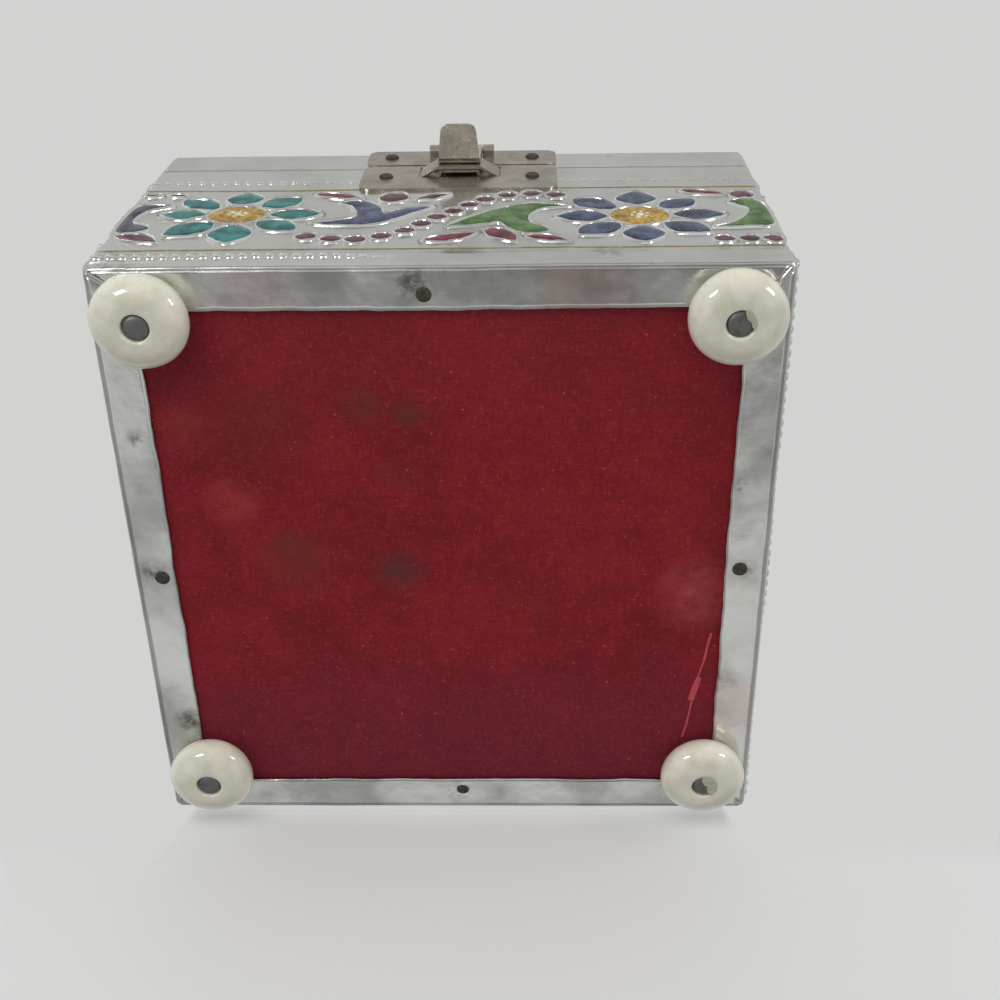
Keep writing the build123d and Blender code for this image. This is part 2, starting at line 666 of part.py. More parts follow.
def lid_cladding():
    """Sheet skin of the lid: rounded top edges, straight sides, folded in under the rim."""
    with BuildPart() as skin:
        block(WIDTH, DEPTH, LID_BOTTOM_Z, LID_TOP_Z)
        round_upright(skin, EDGE_RADIUS)
        fillet(skin.faces().sort_by(Axis.Z)[-1].edges(), LID_EDGE_RADIUS)
        with BuildPart(mode=Mode.PRIVATE) as core:
            bevelled_block(LID_BOTTOM_Z + SKIN, LID_TOP_Z - SKIN)
        add(core.part, mode=Mode.SUBTRACT)
        with BuildSketch(Plane.XY.offset(LID_BOTTOM_Z)):
            with Locations(CENTRE):
                Rectangle(INSIDE_WIDTH, INSIDE_DEPTH)
        extrude(amount=SKIN, mode=Mode.SUBTRACT)
    save(skin, "lid_cladding")


os.makedirs("parts", exist_ok=True)

base_board()
ring_walls(FLOOR_Z, BASE_TOP_Z - SKIN, "base_wall")
base_cladding()
underside_felt()
lining("floor_lining", "base_lining", FLOOR_Z, FLOOR_Z + LINING,
       FLOOR_Z + LINING + LINING_CLEARANCE, BASE_TOP_Z - SKIN)
feet()
foot_nails()
border_tacks()
strike_plate()
catch_clip()

ring_walls(LID_BOTTOM_Z + SKIN, LID_CEILING_Z, "lid_rim")
lid_board()
lid_cladding()
lining("lid_lining", "lid_rim_lining", LID_CEILING_Z - LINING, LID_CEILING_Z,
       LID_BOTTOM_Z + SKIN, LID_CEILING_Z - LINING - LINING_CLEARANCE)
latch_plate()
latch_pin()
latch_lever()
latch_nails()
hinges()
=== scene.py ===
"""Looks of the enamel trinket box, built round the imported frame.

The frame is in metres with Z up. Sizes in this file are millimetres unless a name says otherwise,
and heights called `rise` are measured from the lower edge of the box's walls. A place function
maps (across, along, lift) on one surface of the box to a point.
"""

from math import atan2, copysign, cos, exp, hypot, pi, radians, remainder, sin, sqrt, tan

import bmesh
import bpy
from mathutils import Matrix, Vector, geometry, noise

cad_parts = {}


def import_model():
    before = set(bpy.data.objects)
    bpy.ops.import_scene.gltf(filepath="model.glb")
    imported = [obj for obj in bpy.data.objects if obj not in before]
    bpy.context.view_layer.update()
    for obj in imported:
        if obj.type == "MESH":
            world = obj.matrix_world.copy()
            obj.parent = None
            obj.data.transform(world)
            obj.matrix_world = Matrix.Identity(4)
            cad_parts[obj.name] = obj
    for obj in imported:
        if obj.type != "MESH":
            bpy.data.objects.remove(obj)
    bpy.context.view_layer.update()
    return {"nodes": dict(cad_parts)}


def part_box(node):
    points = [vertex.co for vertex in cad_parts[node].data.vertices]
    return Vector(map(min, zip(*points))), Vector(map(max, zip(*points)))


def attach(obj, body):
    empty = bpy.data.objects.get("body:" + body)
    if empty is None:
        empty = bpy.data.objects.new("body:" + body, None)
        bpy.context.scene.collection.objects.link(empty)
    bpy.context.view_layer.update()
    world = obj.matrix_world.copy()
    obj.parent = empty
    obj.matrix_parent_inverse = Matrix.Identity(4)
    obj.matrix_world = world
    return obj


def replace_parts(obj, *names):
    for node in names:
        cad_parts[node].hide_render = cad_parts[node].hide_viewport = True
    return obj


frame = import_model()

MM = 0.001
HALF = 50.0
CORNER = 1.2
CENTRE_Y = 2.8
BOTTOM_Z = 6.0
BASE_TOP_Z = 53.2
LID_BOTTOM_Z = 53.4
LID_TOP_Z = 64.0
LID_EDGE = 3.0
INNER_HALF = 44.6
BORDER = 6.6
FOLD = 0.45
SHEET = 0.25
UPPER_BEADS = 38.7
LOWER_BEADS = 2.9
GOLD_RISES = (6.6, 35.2)
LATCH_X = 1.3
NAIL_SEAT = 0.9
OUTWARD = {"front": (0, -1), "right": (1, 0), "back": (0, 1), "left": (-1, 0)}
FEET = ("foot_front_left", "foot_front_right", "foot_back_left", "foot_back_right")
TACKS = ((-2.0, -42.8), (0.9, 48.4), (-45.6, 4.5), (45.6, 3.1))


# Mesh helpers


def jitter(x, y, z, size, seed=0.0):
    """Smooth noise between about -1 and 1, with features of that size."""
    return noise.noise(Vector((x / size + seed, y / size + 2 * seed, z / size - seed)))


def clamp(value):
    return min(1.0, max(0.0, value))


def rotated(point, turn):
    a, b = point
    return a * cos(turn) - b * sin(turn), a * sin(turn) + b * cos(turn)


def bend(steps):
    """Angles of a quarter turn, from its first step to its end."""
    return [radians(90 * i / steps) for i in range(1, steps + 1)]


def add_object(name, data, material=None):
    obj = bpy.data.objects.new(name, data)
    bpy.context.scene.collection.objects.link(obj)
    if material:
        data.materials.append(material)
    return obj


def piece(name, shape, body, material, smooth=True):
    """Make a mesh piece from (points, faces) in millimetres and let it ride on a body."""
    points, faces = shape
    mesh = bpy.data.meshes.new(name)
    mesh.from_pydata([(x * MM, y * MM, z * MM) for x, y, z in points], [], faces)
    mesh.update()
    work = bmesh.new()
    work.from_mesh(mesh)
    bmesh.ops.remove_doubles(work, verts=work.verts, dist=1e-7)
    bmesh.ops.recalc_face_normals(work, faces=work.faces)
    work.to_mesh(mesh)
    work.free()
    for polygon in mesh.polygons:
        polygon.use_smooth = smooth
    obj = add_object(name, mesh, material)
    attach(obj, body)
    return obj


def grid_faces(rows, columns, closed=False):
    """Quads of a grid of points listed row by row."""
    faces = []
    for start in range(0, (rows - 1) * columns, columns):
        for c in range(columns if closed else columns - 1):
            d = (c + 1) % columns
            faces.append((start + c, start + d, start + columns + d, start + columns + c))
    return faces


def ring_points(half, radius, per_side=56, per_corner=6):
    """Points of a rounded square with outward directions; the count never changes."""
    radius = min(radius, half)
    flat = half - radius
    points = []
    for quarter in range(4):
        angle = quarter * pi / 2 - pi / 2
        nx, ny = cos(angle), sin(angle)
        tx, ty = -ny, nx
        for i in range(per_side):
            t = -1 + 2 * i / per_side
            points.append((nx * half + tx * flat * t, ny * half + ty * flat * t, nx, ny))
        for i in range(per_corner):
            turn = angle + pi / 2 * i / per_corner
            ox, oy = cos(turn), sin(turn)
            points.append((flat * (nx + tx) + radius * ox, flat * (ny + ty) + radius * oy, ox, oy))
    return points


def ring_shell(rings, shift, loop=False, **counts):
    """Shell through square rings (half, radius, z), its ends joined in a loop or closed."""
    points = []
    for half, radius, z in rings:
        for x, y, nx, ny in ring_points(half, radius, **counts):
            y += CENTRE_Y
            out, up = shift(x, y, z, half)
            points.append((x + nx * out, y + ny * out, z + up))
    columns = len(points) // len(rings)
    faces = grid_faces(len(rings), columns, closed=True)
    last = (len(rings) - 1) * columns
    around = [(c, (c + 1) % columns) for c in range(columns)]
    if loop:
        return points, faces + [(last + c, last + d, d, c) for c, d in around]
    for row, flip in ((0, True), (last, False)):
        middle = [sum(points[row + c][k] for c in range(columns)) / columns for k in range(3)]
        hub = len(points)
        points.append(tuple(middle))
        for c, d in around:
            faces.append((hub, row + d, row + c) if flip else (hub, row + c, row + d))
    return points, faces


def slab(top, bottom):
    """Closed sheet between two grids of points of the same shape."""
    rows, columns = len(top), len(top[0])
    points = [p for row in top + bottom for p in row]
    size = rows * columns
    faces = grid_faces(rows, columns)
    faces += [tuple(size + i for i in reversed(face)) for face in faces]
    edge = list(range(columns))
    edge += [r * columns + columns - 1 for r in range(1, rows)]
    edge += [(rows - 1) * columns + c for c in range(columns - 2, -1, -1)]
    edge += [r * columns for r in range(rows - 2, 0, -1)]
    faces += [(a, a + size, b + size, b) for a, b in zip(edge, edge[1:] + edge[:1])]
    return points, faces


def lathe(profile, centre, count, shift):
    """Revolve (radius, height) pairs round a centre; a radius near zero closes an end."""
    points = []
    for radius, height in profile:
        for i in range(count):
            turn = 2 * pi * i / count
            moved = shift(radius * cos(turn), radius * sin(turn), height)
            points.append(tuple(a + b for a, b in zip(centre, moved)))
    return points, grid_faces(len(profile), count, closed=True)


def merge(parts):
    """Join several (points, faces) pairs into one."""
    points, faces = [], []
    for more_points, more_faces in parts:
        start = len(points)
        points += more_points
        faces += [tuple(start + i for i in face) for face in more_faces]
    return points, faces


# Materials


def linear(red, green, blue):
    """Shader colour from 0-255 display values."""
    def one(value):
        value /= 255
        return value / 12.92 if value <= 0.04045 else ((value + 0.055) / 1.055) ** 2.4
    return (one(red), one(green), one(blue), 1.0)


class Graph:
    """Shader nodes under construction; an input takes a constant or another node's output."""

    def __init__(self, tree):
        self.nodes, self.links = tree.nodes, tree.links

    def give(self, socket, value):
        if isinstance(value, bpy.types.NodeSocket):
            self.links.new(value, socket)
        else:
            socket.default_value = value

    def add(self, kind, inputs=(), **fields):
        node = self.nodes.new("ShaderNode" + kind)
        for field, value in fields.items():
            setattr(node, field, value)
        for key, value in dict(inputs).items():
            self.give(node.inputs[key], value)
        return node

    def ramp(self, source, low, high, start=0.0, end=1.0):
        node = self.add("MapRange", {"Value": source, "From Min": low, "From Max": high,
                                     "To Min": start, "To Max": end},
                        interpolation_type="SMOOTHSTEP")
        return node.outputs["Result"]

    def math(self, how, a, b):
        return self.add("Math", {0: a, 1: b}, operation=how).outputs["Value"]

    def times(self, a, b):
        return self.math("MULTIPLY", a, b)

    def mix(self, share, *tones):
        """Blend of two tones; three numbers are a colour as displayed."""
        a, b = [linear(*t) if isinstance(t, tuple) and len(t) == 3 else t for t in tones]
        return self.add("Mix", {0: share, 6: a, 7: b}, data_type="RGBA").outputs[2]

    def over(self, tone, mask, strength, colour):
        """Lay a colour over a tone where a mask shows it."""
        return self.mix(self.times(mask, strength), tone, colour)


class Paint(Graph):
    """A material under construction, with coordinates in millimetres."""

    def __init__(self, name, **values):
        self.material = bpy.data.materials.new(name)
        self.material.use_nodes = True
        super().__init__(self.material.node_tree)
        self.shader = self.nodes["Principled BSDF"]
        self.set(**values)
        place = self.add("TexCoord").outputs["Object"]
        self.place = self.add("Mapping", {"Scale": (1 / MM,) * 3, "Vector": place}).outputs["Vector"]

    def set(self, **values):
        for key, value in values.items():
            self.give(self.shader.inputs[key.replace("_", " ")], value)

    def noise(self, size, detail=3.0, rough=0.6, stretch=(1, 1, 1), shift=(0, 0, 0), warp=0.0):
        place = self.add("Mapping", {"Scale": stretch, "Location": shift, "Vector": self.place})
        node = self.add("TexNoise", {"Scale": 1.0 / size, "Detail": detail, "Roughness": rough,
                                     "Distortion": warp, "Vector": place.outputs["Vector"]})
        return node.outputs["Fac"]

    def spot(self, x, y, z, radius, soft):
        """1 inside a ball round a point, fading to 0 at its edge."""
        away = self.add("VectorMath", {0: self.place, 1: (x, y, z)}, operation="DISTANCE")
        return self.ramp(away.outputs["Value"], radius, radius * (1 - soft))

    def along_y(self):
        return self.add("SeparateXYZ", {0: self.place}).outputs[1]

    def bump(self, *layers):
        """Each layer is (height, depth in millimetres)."""
        normal = None
        for height, depth in layers:
            inputs = {"Distance": depth * MM, "Height": height}
            if normal:
                inputs["Normal"] = normal
            normal = self.add("Bump", inputs).outputs["Normal"]
        self.set(Normal=normal)
        return normal

    def done(self, tone, *layers):
        """Give the material its colour and its bump layers, and hand it over."""
        self.set(Base_Color=tone)
        if layers:
            self.bump(*layers)
        return self.material


def sheet_metal(name, bright, cloudy, haze, depth=0.03, specks=0.55, stains=(), grime_and_painted_light=()):
    """Thin pale sheet metal: gently dented, clouded by age, with fine scratches.

    Ragged stains are dirt. The smooth patches hold grime, painted shadow and painted reflection. Both
    are (x, y, z, radius, strength, colour)."""
    paint = Paint(name, Metallic=1.0)
    cloud = paint.ramp(paint.noise(19, 4, 0.62), 0.42, 0.66)
    tone = paint.over(bright, cloud, haze, cloudy)
    if specks:
        dark = paint.ramp(paint.noise(1.7, 5, 0.7), 0.63, 0.74)
        patch = paint.ramp(paint.noise(13, 2, 0.5, shift=(7, 3, 1)), 0.5, 0.66)
        tone = paint.over(tone, paint.times(dark, patch), specks, (96, 92, 86))
    ragged = paint.ramp(paint.noise(2.2, 4, 0.7, shift=(4, 2, 9)), 0.38, 0.62)
    for *spot, strength, stain in stains:
        tone = paint.over(tone, paint.times(paint.spot(*spot, 0.9), ragged), strength, stain)
    # Smooth patches: grime, plus painted shadow and painted reflection laid into the metal's colour.
    for *spot, strength, grime_and_light_tone in grime_and_painted_light:
        tone = paint.over(tone, paint.spot(*spot, 0.7), strength, grime_and_light_tone)
    scratch = paint.noise(0.5, stretch=(0.08, 1.0, 1.0))
    rough = paint.ramp(paint.noise(9, 4, 0.6), 0.3, 0.75, 0.14, 0.30)
    paint.set(Roughness=paint.math("ADD", rough, paint.times(scratch, 0.06)))
    return paint.done(tone, (paint.noise(11, 3, 0.5), depth * 6), (paint.noise(2.3, 3, 0.5), depth),
                      (scratch, 0.004))


def enamel(name, deep, clear, spots=None):
    """Dark translucent glass pooled in a cell, brighter where the foil shines through."""
    deep, clear = linear(*deep), linear(*clear)
    paint = Paint(name, Metallic=0.25, Roughness=0.12, IOR=1.22)
    pool = paint.ramp(paint.noise(2.6, 4, 0.6), 0.36, 0.66)
    grain = paint.ramp(paint.noise(0.5, 3, 0.65), 0.50, 0.72)
    tone = paint.mix(pool, deep, clear)
    if spots:
        patch = paint.ramp(paint.noise(1.1, shift=(3, 8, 2)), 0.50, 0.60)
        tone = paint.over(tone, patch, 0.75, spots)
    lighter = tuple(min(1.0, c * 1.7 + 0.02) for c in clear[:3]) + (1.0,)
    darker = tuple(c * 0.4 for c in deep[:3]) + (1.0,)
    tone = paint.over(tone, grain, 0.40, lighter)
    pit = paint.ramp(paint.noise(0.8, 3, 0.7, shift=(1, 5, 7)), 0.60, 0.68, 0.0, 0.5)
    return paint.done(paint.mix(pit, tone, darker),
                      (paint.noise(1.5, 2, 0.5), 0.12), (paint.noise(0.45, 2, 0.5), 0.03))


def gold_paint():
    """Thin gold paint, rubbed pale in places."""
    paint = Paint("gold_paint", Metallic=0.75, Roughness=0.32)
    worn = paint.ramp(paint.noise(6, 4, 0.7), 0.5, 0.68)
    fleck = paint.ramp(paint.noise(0.6), 0.45, 0.75)
    tone = paint.mix(fleck, (146, 128, 78), (186, 164, 108))
    return paint.done(paint.over(tone, worn, 0.75, (178, 174, 160)), (paint.noise(0.8), 0.03))


def underside_cloth():
    """Brushed crimson cloth, mottled, stained and worn in places, darkened towards the back by painted
    shade; its weave carries painted highlights and shade.
    """
    paint = Paint("underside_cloth", Roughness=0.86, Sheen_Weight=0.25, Sheen_Roughness=0.4,
                  Specular_IOR_Level=0.25, Sheen_Tint=linear(255, 120, 120))
    blotch = paint.ramp(paint.noise(11, 6, 0.7, warp=0.2), 0.36, 0.66)
    tone = paint.mix(blotch, (112, 16, 26), (130, 20, 32))
    tone = paint.over(tone, paint.ramp(paint.along_y(), -12, -44), 0.5, (118, 28, 38))
    # Painted shade: the cloth darkens towards the back.
    back = paint.math("ADD", paint.ramp(paint.along_y(), 5, 46), paint.noise(9))
    tone = paint.mix(paint.ramp(back, 0.55, 1.5, 0.0, 0.7), tone, (104, 25, 42))
    thread = paint.noise(0.34, 3, 0.65, stretch=(0.30, 1.0, 1.0))
    across = paint.noise(0.34, 3, 0.65, stretch=(1.0, 0.30, 1.0), shift=(5, 9, 0))
    nap = paint.math("ADD", thread, across)
    # Weave texture: raised threads get a painted highlight, and the gaps between them get painted
    # shade.
    tone = paint.mix(paint.ramp(nap, 1.0, 1.3, 0.0, 0.30), tone, (160, 60, 66))
    tone = paint.mix(paint.ramp(nap, 1.0, 0.74, 0.0, 0.30), tone, (72, 16, 24))
    lint = paint.ramp(paint.noise(0.7, 2, 0.5, shift=(3, 1, 4)), 0.70, 0.76, 0.0, 0.5)
    tone = paint.mix(lint, tone, (206, 92, 84))
    edge = paint.ramp(paint.noise(4.5, 4, 0.7), 0.3, 0.7, 0.2, 1.0)
    for x, y, radius, strength, stain in (
        (-12.5, -25.5, 4.4, 0.80, (82, 44, 38)), (-5.2, -24, 3.6, 0.75, (82, 44, 38)),
        (-8, 3.5, 5.6, 0.85, (78, 44, 40)), (-7.5, -14, 4.4, 0.50, (82, 40, 36)),
        (-27.5, -22, 10, 0.45, (98, 38, 34)), (-24.5, 1.5, 9, 0.60, (96, 46, 36)),
        (12, 11, 8, 0.25, (120, 40, 34)), (28.5, -27, 4, 0.30, (86, 30, 30)),
        (13, -12, 3, 0.30, (80, 22, 28)), (39.5, 8, 9, 0.50, (172, 84, 90)),
        (-33, -9, 6, 0.42, (184, 70, 66)), (-38, -22, 7, 0.22, (170, 70, 66)),
    ):
        inside = paint.times(paint.spot(x, y, BOTTOM_Z, radius, 0.8), edge)
        tone = paint.over(tone, inside, strength, stain)
    return paint.done(tone, (nap, 0.10), (paint.noise(6, 3, 0.5), 0.25))


def thread_paint():
    paint = Paint("thread_paint", Roughness=0.8, Sheen_Weight=0.3)
    return paint.done(paint.mix(paint.noise(0.9), (156, 34, 46), (196, 66, 74)))


def lining_cloth():
    """Short plush of the inside."""
    paint = Paint("lining_cloth", Roughness=0.9, Sheen_Weight=0.5, Sheen_Roughness=0.35,
                  Specular_IOR_Level=0.2, Sheen_Tint=linear(255, 130, 140))
    brushed = paint.ramp(paint.noise(17, 4, 0.6, warp=0.2), 0.36, 0.66)
    pile = paint.noise(0.35, 3, 0.7)
    tone = paint.mix(brushed, (108, 12, 26), (130, 18, 34))
    tips = paint.ramp(pile, 0.45, 0.75, 0.0, 0.4)
    return paint.done(paint.mix(tips, tone, (166, 48, 62)), (pile, 0.12), (paint.noise(9, 3, 0.5), 0.3))


def milk_glass():
    """Milky bead glass with faint clouds and a warm cast where it is thin."""
    paint = Paint("milk_glass", Roughness=0.14, Subsurface_Weight=0.5, Subsurface_Scale=0.0018,
                  Subsurface_Radius=(1.0, 0.82, 0.70), Transmission_Weight=0.14,
                  Coat_Weight=1.0, Coat_Roughness=0.03)
    cloud = paint.ramp(paint.noise(3.4, 4, 0.6), 0.35, 0.7)
    return paint.done(paint.mix(cloud, (215, 212, 195), (230, 227, 212)),
                      (paint.noise(2.4, 2, 0.5), 0.03))


def chipped_glass():
    """Clear broken edge of bead glass."""
    paint = Paint("chipped_glass", Roughness=0.10, Transmission_Weight=0.35, Coat_Weight=0.6,
                  Coat_Roughness=0.03)
    tone = paint.mix(paint.noise(0.8), (176, 168, 142), (222, 216, 196))
    return paint.done(tone, (paint.noise(0.5), 0.12))


def steel(name, metallic, rust, spread, clean, brown, rough, pits, depth):
    """Steel that goes brown in patches; rust and pits are noise arguments."""
    paint = Paint(name, Metallic=metallic)
    patch = paint.ramp(paint.noise(*rust), *spread)
    paint.set(Roughness=paint.ramp(patch, 0.0, 1.0, *rough))
    return paint.done(paint.mix(patch, clean, brown), (paint.noise(*pits), depth))


def latch_nickel(name, light, dark, smooth):
    """Nickel plate gone brown, darker in patches, its edges rounded in shading so that they catch the
    light.
    """
    paint = Paint(name, Metallic=0.9)
    brown = paint.ramp(paint.noise(5.5, 4, 0.6, warp=0.4), 0.36, 0.7)
    pit = paint.ramp(paint.noise(0.6, 4, 0.7), 0.60, 0.76, 0.0, 0.35)
    rough = paint.ramp(paint.noise(2.2), 0.3, 0.7, smooth, smooth + 0.16)
    normal = paint.bump((paint.noise(3.4, 3, 0.5), 0.08), (paint.noise(0.7), 0.012))
    bevel = paint.add("Bevel", {"Radius": 0.18 * MM, "Normal": normal}, samples=6)
    paint.set(Roughness=rough, Normal=bevel.outputs["Normal"])
    return paint.done(paint.mix(pit, paint.mix(brown, light, dark), (74, 58, 48)))


def carcass_wood():
    """Plain softwood of the carcass."""
    paint = Paint("carcass_wood", Roughness=0.7)
    grain = paint.noise(1.1, 4, 0.6, stretch=(0.06, 1, 1), warp=0.3)
    streak = paint.ramp(grain, 0.35, 0.7)
    return paint.done(paint.mix(streak, (198, 162, 112), (156, 116, 72)), (grain, 0.08))


# Skin of the box


def dent(x, y, z):
    """How far the sheet stands off true at a point."""
    return 0.10 * jitter(x, y, z, 17, 3.1) + 0.05 * jitter(x, y, z, 6, 8.4)


def on_side(side, across, rise, lift=0.0):
    """Point on a wall: across it from its middle, rising from its lower edge."""
    z = BOTTOM_Z + rise
    turn = max(0.0, abs(across) - (HALF - CORNER)) / CORNER
    depth = (CORNER + lift) * (1 - cos(turn))
    if turn:
        across = copysign(HALF - CORNER + (CORNER + lift) * sin(turn), across)
    nx, ny = OUTWARD[side]
    x, y = nx * HALF - ny * across, CENTRE_Y + ny * HALF + nx * across
    out = lift - depth + dent(x, y, z)
    return x + nx * out, y + ny * out, z


def wall(side, across=0.0, rise=0.0, lift=0.0):
    """Place function of a wall, measured from a point on it."""
    return lambda a, b, up: on_side(side, across + a, rise + b, lift + up)


def on_lid_top(across, along, lift=0.0):
    x, y = across, CENTRE_Y + along
    return x, y, LID_TOP_Z + lift + dent(x, y, LID_TOP_Z)


def base_skin(metal):
    """Walls of the base: rails pressed above and below the band, folded in over the rim."""
    outer = [(INNER_HALF, 0.6, 52.75), (INNER_HALF, 0.6, 53.05), (44.9, 0.6, BASE_TOP_Z),
             (49.4, 1.0, BASE_TOP_Z), (49.8, CORNER, 53.08), (HALF, CORNER, 52.7)]
    rises = [46.2, 45, 43, 41.2, 40.4, 39.6, UPPER_BEADS, 37.8, 37.2, 36.4, 34, 31, 28, 25, 22, 19,
             16, 13, 10, 7.4, 5.4, 4.9, 4.2, 3.4, 2.6, 1.8, 1.2, 0.7]
    outer += [(HALF, CORNER, BOTTOM_Z + rise) for rise in rises]
    outer += [(49.9, CORNER, 6.25), (49.7, CORNER, 6.06), (49.3, 1.0, BOTTOM_Z),
              (48.9, 1.0, BOTTOM_Z + 0.16)]
    inner = []
    for half, radius, z in outer:
        low = z if z > BOTTOM_Z + 1 else max(z + SHEET, BOTTOM_Z + SHEET)
        inner.append((half - SHEET, max(radius - SHEET, 0.4), min(low, BASE_TOP_Z - SHEET)))

    def shift(x, y, z, half):
        if half < 49.2:
            return 0.0, 0.0
        rise = z - BOTTOM_Z
        rail = 0.22 * exp(-((rise - UPPER_BEADS) / 1.5) ** 4)
        rail += 0.28 * exp(-((rise - LOWER_BEADS) / 2.0) ** 4)
        out = rail + dent(x, y, z) * clamp((BASE_TOP_Z - z) / 3)
        creased = exp(-((rise - LOWER_BEADS) / 2.4) ** 4) * clamp((-8 - x) / 12)
        out += 0.16 * creased * jitter(x, y, z, 1.5, 6.3)
        crumple = exp(-((x + 49) ** 2 + (y + 46.5) ** 2 + (rise - 0.5) ** 2) / 22)
        out += crumple * (0.42 * jitter(x, y, z, 2.4, 5.5) - 0.05)
        return out, crumple * 0.22 * jitter(x, y, z, 2.6, 1.5)

    shell = ring_shell(outer + inner[::-1], shift, loop=True)
    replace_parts(piece("base_skin", shell, "base", metal), "base_cladding")


def border_point(number, side, share, t):
    """Point of one flap: share runs inwards from the fold, t along the side from -1 to 1."""
    over = side in ("front", "back")
    wave = 0.28 * jitter(t * HALF, number * 40, 0, 9, 2.2)
    wave += 0.12 * jitter(t * HALF, number * 40, 0, 2.6, 6.1)
    depth = FOLD + share * (BORDER - FOLD + wave)
    reach = min(HALF - depth + (FOLD if over else -0.1), HALF - 1.0)
    along = t * reach
    nx, ny = OUTWARD[side]
    x, y, _ = on_side(side, along, 0)
    x, y = x - nx * depth, y - ny * depth
    end = exp(-((reach - abs(along)) / 0.8) ** 2)
    z = BOTTOM_Z - 0.10 - (0.14 + 0.2 * end if over else 0.0) * (0.15 + 0.85 * share)
    z += 0.07 * jitter(x, y, 0, 7, 4.2) + 0.04 * jitter(x, y, 0, 2.5, 1.7)
    z -= 0.05 * share
    crumple = exp(-((x + 47.5) ** 2 + (y + 45) ** 2) / 16)
    z += crumple * 0.45 * jitter(x, y, 3, 1.4, 7.7) - 0.1 * crumple
    return x, y, z


def border_flaps(metal):
    """The folded border under the box: four mitred flaps with a slightly wavy inner edge."""
    across_steps, in_steps, thick = 96, 9, 0.3
    parts = []
    for number, side in enumerate(OUTWARD):
        top = [[border_point(number, side, i / in_steps, -1 + 2 * j / across_steps)
                for j in range(across_steps + 1)] for i in range(in_steps + 1)]
        parts.append(slab(top, [[(x, y, z + thick) for x, y, z in row] for row in top]))

    def on_border(a, b, up):
        return a, b, BOTTOM_Z - 0.3 - up
    right_fold = [(49.2 - 0.19 * i, -46.4 + 0.28 * i) for i in range(14)]
    left_fold = [(-49.1 + 0.3 * i, -46.3 + 0.23 * i) for i in range(12)]
    parts += [ribbon(on_border, right_fold, 0.95, 0.26), ribbon(on_border, left_fold, 0.8, 0.2)]
    piece("base_border", merge(parts), "base", metal)


def lid_skin(metal):
    """Skin of the lid: straight sides, rounded top edge, slightly uneven top."""
    rings = [(INNER_HALF, 0.6, 53.8), (INNER_HALF, 0.6, 53.55), (44.9, 0.6, LID_BOTTOM_Z),
             (49.4, 1.0, LID_BOTTOM_Z), (49.82, CORNER, 53.5), (HALF, CORNER, 53.9)]
    rings += [(HALF, CORNER, z) for z in (54.6, 55.8, 57.2, 58.6, 60.0, 60.6)]
    edge_z = LID_TOP_Z - LID_EDGE
    for turn in bend(8):
        half = HALF - LID_EDGE + LID_EDGE * cos(turn)
        rings.append((half, CORNER + (HALF - half) * 0.35, edge_z + LID_EDGE * sin(turn)))
    rings += [(half, min(3.9, half * 0.12), LID_TOP_Z) for half in range(45, 1, -2)]

    def shift(x, y, z, half):
        if half < 49.2 and z < 60:
            return 0.0, 0.0
        stand = dent(x, y, z) * clamp((z - LID_BOTTOM_Z) / 3)
        over = clamp((z - edge_z) / 3)
        return stand * (1 - over), stand * over

    points, faces = ring_shell(rings, shift)
    faces = [face for face in faces if len(face) > 3 or points[face[0]][2] >= 60]
    obj = piece("lid_skin", (points, faces), "lid", metal)
    thick = obj.modifiers.new("thickness", "SOLIDIFY")
    thick.thickness = SHEET * MM
    thick.offset = -1
    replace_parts(obj, "lid_cladding")


def bead(place, radius, height, around=10, up=4):
    """Small pressed bead."""
    points = []
    for i in range(up + 1):
        turn = pi / 2 * i / up
        ring, lift = radius * cos(turn), height * sin(turn)
        for j in range(around):
            angle = 2 * pi * j / around
            points.append(place(ring * cos(angle), ring * sin(angle), lift))
    return points, grid_faces(up + 1, around, closed=True)


def beading(metal):
    """Rows of pressed beads above and below the band, flattened in places by wear."""
    pitch = 1.9
    count = int(2 * (HALF - CORNER) / pitch)
    parts = []
    for number, side in enumerate(OUTWARD):
        for rise, radius, height, lift in ((UPPER_BEADS, 0.64, 0.44, 0.20),
                                           (LOWER_BEADS, 0.86, 0.66, 0.24)):
            for i in range(count + 1):
                across = -count * pitch / 2 + i * pitch
                wear = 0.5 + 0.5 * jitter(across, number * 31, rise, 14, 2.7)
                strength = min(1.0, 0.35 + wear)
                if side == "front" and rise == LOWER_BEADS:
                    strength = 1.0 if across < -14 else max(0.12, 1 - (across + 14) / 10)
                elif side == "front" and abs(across - LATCH_X) < 16.5:
                    continue
                uneven = jitter(across * 9.7, number * 53, rise, 5, 1.9)
                place = wall(side, across + 0.16 * uneven, rise - 0.22 * uneven, lift - 0.06)
                parts.append(bead(place, radius * (1 + 0.10 * uneven), height * strength))
    piece("base_beading", merge(parts), "base", metal)


def ribbon(place, path, width, height, closed=False):
    """Thin raised line along a path of (across, along) points."""
    profile = ((-0.5, -0.1), (-0.3, 0.55), (0, 1.0), (0.3, 0.55), (0.5, -0.1))
    points = []
    count = len(path)
    for i, (a, b) in enumerate(path):
        before = path[(i - 1) % count] if closed or i else path[0]
        after = path[(i + 1) % count] if closed or i < count - 1 else path[-1]
        ta, tb = after[0] - before[0], after[1] - before[1]
        size = hypot(ta, tb) or 1.0
        na, nb = -tb / size, ta / size
        wide = width * (1 + 0.22 * jitter(a, b, 0, 3, 9.2))
        for share, up in profile:
            points.append(place(a + na * wide * share, b + nb * wide * share, height * up))
    faces = grid_faces(count, len(profile))
    if closed:
        last = (count - 1) * len(profile)
        faces += [(last + c, last + c + 1, c + 1, c) for c in range(len(profile) - 1)]
    return points, faces


